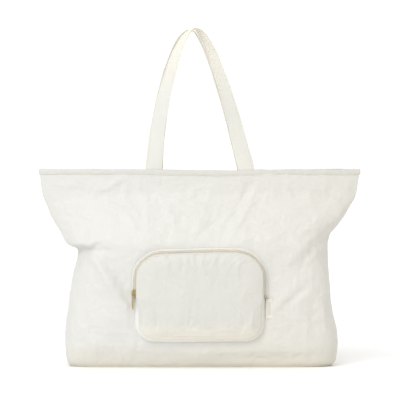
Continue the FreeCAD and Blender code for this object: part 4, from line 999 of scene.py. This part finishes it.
# the pouch's outline, once round from the middle of its lower edge
seatLow = pouch["low"]
outlineCorners = [(0, seatLow), (-half, seatLow), (-half, high), (half, high), (half, seatLow),
                  (0, seatLow)]
outlineRounds = [pouch["foot"], pouch["round"], pouch["round"], pouch["foot"]]
outlineAt = roundedLine(outlineCorners, outlineRounds, 1.6)[0][:-1]
outlineAhead = unit(np.roll(outlineAt, -1, 0) - np.roll(outlineAt, 1, 0))
outlineOut = np.stack([-outlineAhead[:, 1], outlineAhead[:, 0]], -1)


def seated(x, z, rise):  # points that stand out from the pouch's seat, with its waver added
    dx, dz = settle(x, z)
    return np.stack([x + dx, -(seatDeep + rise), z + dz], -1)


pouchFace = {"level": 15.0, "puff": 4.6, "roll": 12.0, "rings": 74}


def pouchRim():
    # ring by ring from the zip, or from the seam below it, to the face: in is the distance inside
    # the zip's line, out the distance from the wall
    zipped = ease(end - 26, end + 2, outlineAt[:, 1])
    across = np.array([-3.85, -3.78, -4.1, -5.2, -6.4, -7.5])
    proud = np.array([0.10, 0.62, 0.85, 0.62, 0.50, 0.35])
    zipIn = -(across * math.cos(tilt) + proud * math.sin(tilt))
    zipRise = zipOut - across * math.sin(tilt) + proud * math.cos(tilt)
    seamIn = np.array([6.2, 5.9, 6.1, 7.2, 8.8, 10.8])
    seamRise = np.array([10.8, 11.4, 12.1, 13.0, 13.8, 14.5])
    inward = zipIn[:, None] * zipped + seamIn[:, None] * (1 - zipped)
    rise = zipRise[:, None] * zipped + seamRise[:, None] * (1 - zipped)
    return inward, rise


def pouchSheet():
    # rim rings, then rings drawn in to the middle: rise = edge + puff * (1 - exp(-in / roll)),
    # with gathers that fade away from the edge
    inward, rise = pouchRim()
    rimIn, rimRise = inward[-1], rise[-1]
    middle = np.array([0, (pouch["low"] + pouch["high"]) / 2])
    edge = outlineAt - outlineOut * rimIn[:, None]
    far = np.linalg.norm(edge - middle, axis=1)
    share = 1 - np.linspace(0, 1, pouchFace["rings"])[1:] ** 1.25 * 0.97
    place = middle + (edge - middle)[None] * share[:, None, None]
    into = (1 - share)[:, None] * far[None]
    around = np.arange(len(outlineAt)) * 1.6
    gather = lumps(around[None] * 1.0 + into * 0.12, into * 0.35, 6, 95) * np.exp(-into / 16)
    gather = gather * (0.7 + 0.9 * ease(150, 195, outlineAt[:, 1]))[None]
    x, z = place[..., 0], place[..., 1]
    bulk = 1.8 * np.exp(-(((x + 6) / 70) ** 2 + ((z - 92) / 44) ** 2))
    puff = pouchFace["puff"] * (1 - np.exp(-into / pouchFace["roll"])) + bulk
    folds = sum(foldAlong(x, z, *fold) for fold in pouchFolds)
    crease = 0.7 * crumple(x, z, 34, 97, octaves=2) + 0.8 * lumps(x, z, 40, 98)
    crease = crease + 0.30 * crumple(x, z, 12, 99, octaves=3)
    fade = ease(0, 12, into)
    settled = ease(0, 26, into)
    rest = rimRise[None] * (1 - settled) + pouchFace["level"] * settled
    rest = rest + puff + 0.75 * gather + (folds + crease) * fade
    ringPlace = outlineAt[None] - outlineOut[None] * inward[..., None]
    allPlace = np.concatenate([ringPlace, place])
    return seated(allPlace[..., 0], allPlace[..., 1], np.concatenate([rise, rest]))


pouchFolds = [
    ([(-92, 98), (-84, 74), (-88, 54)], 5, 6, 1.6),
    ([(-76, 102), (-72, 78), (-76, 58)], 5, 4, -1.3),
    ([(-100, 122), (-94, 104), (-86, 90)], 4, 5, -1.2),
    ([(92, 102), (86, 76), (90, 54)], 5, 6, 1.4),
    ([(78, 98), (74, 74), (64, 54)], 5, 5, -1.2),
    ([(-64, 188), (-54, 170), (-52, 150)], 5, 5, 1.2),
    ([(-32, 190), (-28, 172), (-34, 154)], 4, 5, -1.2),
    ([(4, 190), (2, 172), (12, 154)], 5, 4, 1.2),
    ([(34, 190), (30, 172), (34, 154)], 4, 4, -1.0),
    ([(72, 186), (62, 168), (64, 146)], 5, 5, 1.2),
    ([(-24, 64), (16, 56), (60, 66)], 6, 5, 1.0),
]
points = pouchSheet()
rings, around = points.shape[:2]
faces = gridFaces(rings, around, closeColumns=True, flip=True).tolist()
faces.append(list(range((rings - 1) * around, rings * around))[::-1])
piece = makePiece("pouchFront", points, faces, "bag", pouchNylon, ["pocket_front_panel"],
                  points[..., [0, 2]])
thicken(piece, 0.45)


def pouchGusset():
    # the pouch's lower wall: from the seat it swells a little, then leans in to the face's seam
    inward, rise = pouchRim()
    keep = np.where(outlineAt[:, 1] < end + 1.2)[0]
    # one unbroken run, from the right end round the bottom to the left end
    start = keep[np.argmax(np.diff(np.concatenate([keep, [keep[0] + len(outlineAt)]])) > 1) + 1 - len(keep)]
    run = np.arange(start, start + len(keep)) % len(outlineAt)
    t = np.linspace(0, 1, 18)[:, None]
    topIn, topRise = inward[0][run], rise[0][run]
    swell = 0.5 * np.sin(math.pi * t)
    reach = np.arange(len(run)) * 1.6
    pucker = 0.35 * lumps(reach[None] + 0 * t, t * 6 + 0 * reach[None], 6, 101) * np.sin(math.pi * t)
    place = outlineAt[run][None] - outlineOut[run][None] * (topIn[None] * t - swell - pucker)[..., None]
    points = seated(place[..., 0], place[..., 1], 0.35 + (topRise[None] - 0.35) * t)
    return points, np.stack([reach[None] + 0 * t, t * 15 + 0 * reach[None]], -1)


points, uv = pouchGusset()
# the gusset takes the painted-light copy of the nylon
piece = makePiece("pouchGusset", points, gridFaces(*points.shape[:2], flip=True), "bag", sideNylon,
                  ["pocket_gusset"], uv)
thicken(piece, 0.35)

# a row of stitches on the rim's fifth ring
inward, rise = (rings[4] for rings in pouchRim())
place = outlineAt - outlineOut * inward[:, None]
line = seated(place[:, 0], place[:, 1], rise)
tiltOut = np.stack([outlineOut[:, 0] * 0.7, np.full(len(line), -0.7), outlineOut[:, 1] * 0.7], -1)
stitches("pouchEdgeStitches", [(line, tiltOut)], "bag", 2.8, 0.2, threadLook)

liningLow, liningHigh = cadSpan("pocket_lining")
liningMid, liningHalf = (liningLow + liningHigh) / 2, (liningHigh - liningLow) / 2
u, v = np.meshgrid(np.linspace(-1, 1, 60), np.linspace(-1, 1, 44))
stretch = np.sqrt(1 - 0.175 * (v * u) ** 2)  # draws the corners in
x = u * stretch * (half - 1)
z = liningMid[2] + v * stretch * liningHalf[2]
y = liningMid[1] + 0.15 * lumps(x, z, 18, 111)
piece = makePiece("pouchLining", np.stack([x, y, z], -1), gridFaces(44, 60), "bag", liningNylon,
                  ["pocket_lining"], np.stack([x, z], -1))
thicken(piece, 0.4, 0.0)
print("pouch made")


# slider, pull and stops

sliderLow, sliderHigh = cadSpan("slider_body")
sliderMid = float(sliderLow[2] + sliderHigh[2]) / 2


def onZip(local, height, hand=-1):
    # across the zip, down it, and out of it, to the row frame
    across = np.array([hand * math.cos(tilt), math.sin(tilt), 0])
    down = np.array([0, 0, float(hand)])
    out = np.array([hand * math.sin(tilt), -math.cos(tilt), 0])
    middle = np.array([hand * pouch["half"], -(seatDeep + zipOut), height])
    local = np.asarray(local, float)
    return middle + local[..., :1] * across + local[..., 1:2] * down + local[..., 2:] * out


def loopOf(halfWide, halfLong, power, count=48, middle=(0, 0), flare=0.0):
    # a rounded loop x = w * cos^(2/power), y = l * sin^(2/power), wider to one end by flare
    turn = np.linspace(0, 2 * math.pi, count, endpoint=False)
    c, s = np.cos(turn), np.sin(turn)
    y = np.sign(s) * np.abs(s) ** (2 / power)
    x = np.sign(c) * np.abs(c) ** (2 / power) * (1 + flare * y)
    return np.stack([x * halfWide + middle[0], y * halfLong + middle[1]], -1)


def slab(loop, low, high, round_, crown=0.0):
    # a plate with rounded rims: the loop is drawn in near both faces
    middle = loop.mean(0)
    steps = [(0.55, low), (0.9, low), (1, low + round_), (1, high - round_), (0.93, high),
             (0.55, high + crown)]
    reach = np.linalg.norm(loop - middle, axis=1, keepdims=True)
    rings = []
    for share, level in steps:
        drawn = middle + (loop - middle) * np.where(share >= 0.9, 1 - (1 - share) * 2 / reach * 1.5, share)
        rings.append(np.concatenate([drawn, np.full((len(loop), 1), level)], 1))
    return np.array(rings), tubeFaces(len(steps), len(loop))


def frameRing(outer, inner, low, high):
    # a flat ring between two loops with softened edges, closed round its section
    steps = [(0.0, low + 0.2), (0.12, low), (0.88, low), (1, low + 0.2), (1, high - 0.2), (0.88, high),
             (0.12, high), (0.0, high - 0.2)]
    rings = []
    for share, level in steps:
        loop = inner + (outer - inner) * share
        rings.append(np.concatenate([loop, np.full((len(outer), 1), level)], 1))
    return np.array(rings), gridFaces(len(steps), len(outer), True, True).tolist()


def barAlong(path, side, halfSide, halfThick, power=4):
    # a rounded bar carried along a path in one plane; side is the plane's normal
    path = np.asarray(path, float)
    ahead = unit(np.gradient(path, axis=0))
    third = np.cross(ahead, side)
    loop = loopOf(halfSide, halfThick, power, 16)
    points = path[:, None] + side * loop[None, :, :1] + third[:, None] * loop[None, :, 1:]
    return points, tubeFaces(len(path), 16)


def joined(*parts):  # several meshes as one
    points, faces, base = [], [], 0
    for part, partFaces in parts:
        flat = np.asarray(part).reshape(-1, 3)
        points.append(flat)
        faces += [[int(i) + base for i in face] for face in partFaces]
        base += len(flat)
    return np.concatenate(points), faces


def outwards(piece):  # closed hard pieces built from several loops: let their faces agree
    mesh = bmesh.new()
    mesh.from_mesh(piece.data)
    bmesh.ops.recalc_face_normals(mesh, faces=mesh.faces)
    mesh.to_mesh(piece.data)
    mesh.free()


def zipMetal(name, parts, height, body, node, hand=-1, finish=goldMetal, sharp=50):
    # a hard piece drawn beside the chain, seated on it at one height
    points, faces = parts
    outwards(makePiece(name, onZip(points, height, hand), faces, body, finish, [node], sharp=sharp))


sliderCut = {"half": 6.0, "front": 4.25, "rear": 3.75, "plate": 0.9, "under": -1.7, "over": 2.3}


def sliderShape():  # two plates with a notch at each side, a wedge in two stubs, and lips
    plate = loopOf((sliderCut["front"] + sliderCut["rear"]) / 2, sliderCut["half"], 5, 56, flare=0.065)
    notch = np.exp(-((plate[:, 1] + 1.0) / 3.2) ** 2)
    plate[:, 0] *= 1 - 0.07 * notch
    lower = slab(plate, sliderCut["under"], sliderCut["under"] + sliderCut["plate"], 0.25)
    upper = slab(plate, sliderCut["over"], sliderCut["over"] + sliderCut["plate"], 0.3, 0.12)
    wedge = [slab(loopOf(0.6, 1.6, 3, 20, (0, 4.2)), *run, 0.1)
             for run in ((sliderCut["under"] + 0.8, 0.08), (1.78, sliderCut["over"] + 0.1))]
    sides = [loopOf(0.34, sliderCut["half"] - 0.5, 5, 28, (hand * 3.36, -0.1)) for hand in (-1, 1)]
    lips = [slab(loop, 0.45, sliderCut["over"] + 0.1, 0.1) for loop in sides]
    lowLips = [slab(loop, sliderCut["under"] + 0.8, sliderCut["under"] + 1.0, 0.05) for loop in sides]
    return joined(lower, upper, *wedge, *lips, *lowLips)


zipMetal("sliderBody", sliderShape(), sliderMid, "slider", "slider_body")

# the bridge is an arch whose ends go into the plate, with the lock spring's leaf under it
plateTop = sliderCut["over"] + sliderCut["plate"]
t = np.linspace(0, math.pi, 33)
arcLong = -4.0 * np.sign(np.cos(t)) * np.abs(np.cos(t)) ** 0.55
arcRise = plateTop - 0.25 + 3.15 * np.sin(t) ** 0.6
bridge = barAlong(np.stack([0 * t, arcLong, arcRise], -1), np.array([1.0, 0, 0]), 1.1, 0.5)
zipMetal("sliderBridge", bridge, sliderMid, "slider", "slider_bridge", sharp=60)
leafLong = np.linspace(-3.1, 3.1, 20)
leafRise = plateTop + 2.12 - 0.12 * np.linspace(-1, 1, 20) ** 2
leaf = barAlong(np.stack([np.zeros(20), leafLong, leafRise], -1), np.array([1.0, 0, 0]), 0.65, 0.14)
zipMetal("lockSpring", leaf, sliderMid, "slider", "slider_lock_spring", finish=springMetal,
         sharp=60)

# the pull is an eye round the bridge, a tab with a small hole, and a ridge down the tab
pullCut = {"axleDown": 2.4, "rise": 1.0, "eyeThick": 0.55, "tabThick": 0.5, "ridgeThick": 0.62}
level = plateTop + pullCut["rise"]
down = pullCut["axleDown"]


def pullFaces(kind):  # lower and upper face of one part of the pull
    return level - pullCut[kind], level + pullCut[kind]


eye = frameRing(loopOf(2.7, 4.55, 4.5, 56, (0, down + 3.95)),
                loopOf(1.65, 2.85, 4.5, 56, (0, down + 3.55)), *pullFaces("eyeThick"))
tab = frameRing(loopOf(2.45, 8.9, 3.2, 56, (0, down + 16.3), flare=-0.10),
                loopOf(1.0, 1.0, 2, 56, (0, down + 21.9)), *pullFaces("tabThick"))
ridge = slab(loopOf(1.25, 4.6, 3, 40, (0, down + 14.2)), *pullFaces("ridgeThick"), 0.1)
zipMetal("pullTab", joined(eye, tab, ridge), sliderMid, "pull", "pull_tab")

stopBlocks = [slab(loopOf(0.8, 1.0, 4, 24, (hand * 2.15, 1.0)), -0.05, 1.9, 0.4, 0.1) for hand in (-1, 1)]
topStopHigh = float(cadSpan("zipper_top_stops")[1][2])
zipMetal("topStops", joined(*stopBlocks), topStopHigh, "bag", "zipper_top_stops")
bottomStopLow = float(cadSpan("zipper_bottom_stop")[0][2])
bottomStop = slab(loopOf(2.75, 2.0, 4, 40, (0, 2.0)), -0.05, 2.2, 0.5, 0.15)
zipMetal("bottomStop", bottomStop, bottomStopLow, "bag", "zipper_bottom_stop", hand=1)

# label

labelLow, labelHigh = cadSpan("side_label")
t = np.linspace(0, 1, 26)
wide = labelHigh[0] - labelLow[0]
lean = 1.1 * t**2
outerPly = np.stack([labelLow[0] + wide * t * 0.985, -(seatDeep + 1.15 + lean)], -1)
innerPly = np.stack([labelLow[0] + wide * t * 0.985, -(seatDeep + 0.45 + lean * 0.9)], -1)
turnIn = np.array([[labelHigh[0] + 0.05, -(seatDeep + 0.8 + 1.0)]])
section = np.concatenate([outerPly, turnIn, innerPly[::-1], innerPly[:1] + [0, -0.2], innerPly + [0, -0.2],
                          outerPly[::-1] + [0, 0.2], outerPly[:1] + [0, 0.2]])
z = np.linspace(labelLow[2], labelHigh[2], 60)
ripple = 0.25 * np.sin(z / 9.0 + 0.7)[:, None] * ease(labelLow[0] + 2, labelHigh[0], section[:, 0])[None]
labelX, labelZ = np.meshgrid(section[:, 0], z)
points = np.stack([labelX, section[None, :, 1] + ripple, labelZ], -1)
uv = np.stack([labelX, labelZ], -1)
outwards(makePiece("sideLabel", points, tubeFaces(len(z), len(section)), "label", labelTape,
                   ["side_label"], uv))
print("zip and label made")


# floor, light and camera

floorMaterial = Finish("paleFloor", Roughness=0.6, Specular_IOR_Level=0.2)
floorMaterial.feed("Base Color", floorMaterial.mix(
    floorMaterial.noise(floorMaterial.coords(), 3.0), (0.94, 0.94, 0.93, 1), (0.96, 0.96, 0.95, 1)))
size = 14.0
corners = [(-size, -size, 0), (size, -size, 0), (size, size, 0), (-size, size, 0)]
floorMesh = bpy.data.meshes.new("floor")
floorMesh.from_pydata(corners, [], [(0, 1, 2, 3)])
floor = bpy.data.objects.new("floor", floorMesh)
bpy.context.scene.collection.objects.link(floor)
floorMesh.materials.append(floorMaterial.material)

studio = {
    "behind": 1.08, "above": 1.15, "left": (0.42, 0.43, 0.44), "right": (0.60, 0.575, 0.52),
    "keyPower": 1.49, "keyTurn": 40, "keyFrom": (-0.38, -0.72, 0.58), "cameraAway": 3.4, "viewWide": 0.680,
    "viewMid": 0.2815,
}


def studioSky():
    # a pale backdrop behind, a soft ceiling, and a cooler left than right in front
    world = bpy.data.worlds.new("studio")
    bpy.context.scene.world = world
    world.use_nodes = True
    tree = world.node_tree
    where = tree.nodes.new("ShaderNodeTexCoord")
    split = tree.nodes.new("ShaderNodeSeparateXYZ")
    tree.links.new(where.outputs["Generated"], split.inputs[0])

    def blendOf(axis, start, end, first, second):  # first below start, second above end
        share = tree.nodes.new("ShaderNodeMapRange")
        share.interpolation_type = "SMOOTHSTEP"
        share.inputs["From Min"].default_value, share.inputs["From Max"].default_value = start, end
        tree.links.new(split.outputs[axis], share.inputs["Value"])
        mix = tree.nodes.new("ShaderNodeMix")
        mix.data_type = "RGBA"
        tree.links.new(share.outputs["Result"], mix.inputs[0])
        for socket, value in ((mix.inputs[6], first), (mix.inputs[7], second)):
            if isinstance(value, tuple):
                socket.default_value = value
            else:
                tree.links.new(value, socket)
        return mix.outputs[2]

    front = blendOf("X", -0.8, 0.8, (*studio["left"], 1), (*studio["right"], 1))
    ring = blendOf("Z", 0.05, 0.22, (*[studio["behind"]] * 3, 1), front)
    dome = blendOf("Z", 0.45, 0.9, ring, (*[studio["above"]] * 3, 1))
    backdrop = blendOf("Y", 0.55, 0.85, dome, (*[studio["behind"]] * 3, 1))
    tree.links.new(backdrop, tree.nodes["Background"].inputs["Color"])


studioSky()
lamp = bpy.data.lights.new("key", "SUN")
lamp.energy, lamp.angle = studio["keyPower"], math.radians(studio["keyTurn"])
key = bpy.data.objects.new("key", lamp)
bpy.context.scene.collection.objects.link(key)
key.rotation_euler = Vector(studio["keyFrom"]).to_track_quat("Z", "Y").to_euler()

lens = bpy.data.cameras.new("camera")
camera = bpy.data.objects.new("camera", lens)
bpy.context.scene.collection.objects.link(camera)
nearest = -seatDeep * mm
camera.location = (0, nearest - studio["cameraAway"], studio["viewMid"])
camera.rotation_euler = (math.pi / 2, 0, 0)
lens.sensor_width = 36.0
lens.lens = lens.sensor_width * (studio["cameraAway"] + 0.045) / studio["viewWide"]
lens.clip_end = 60
bpy.context.scene.camera = camera
bpy.context.scene.view_settings.view_transform = "Standard"
bpy.context.scene.view_settings.look = "None"
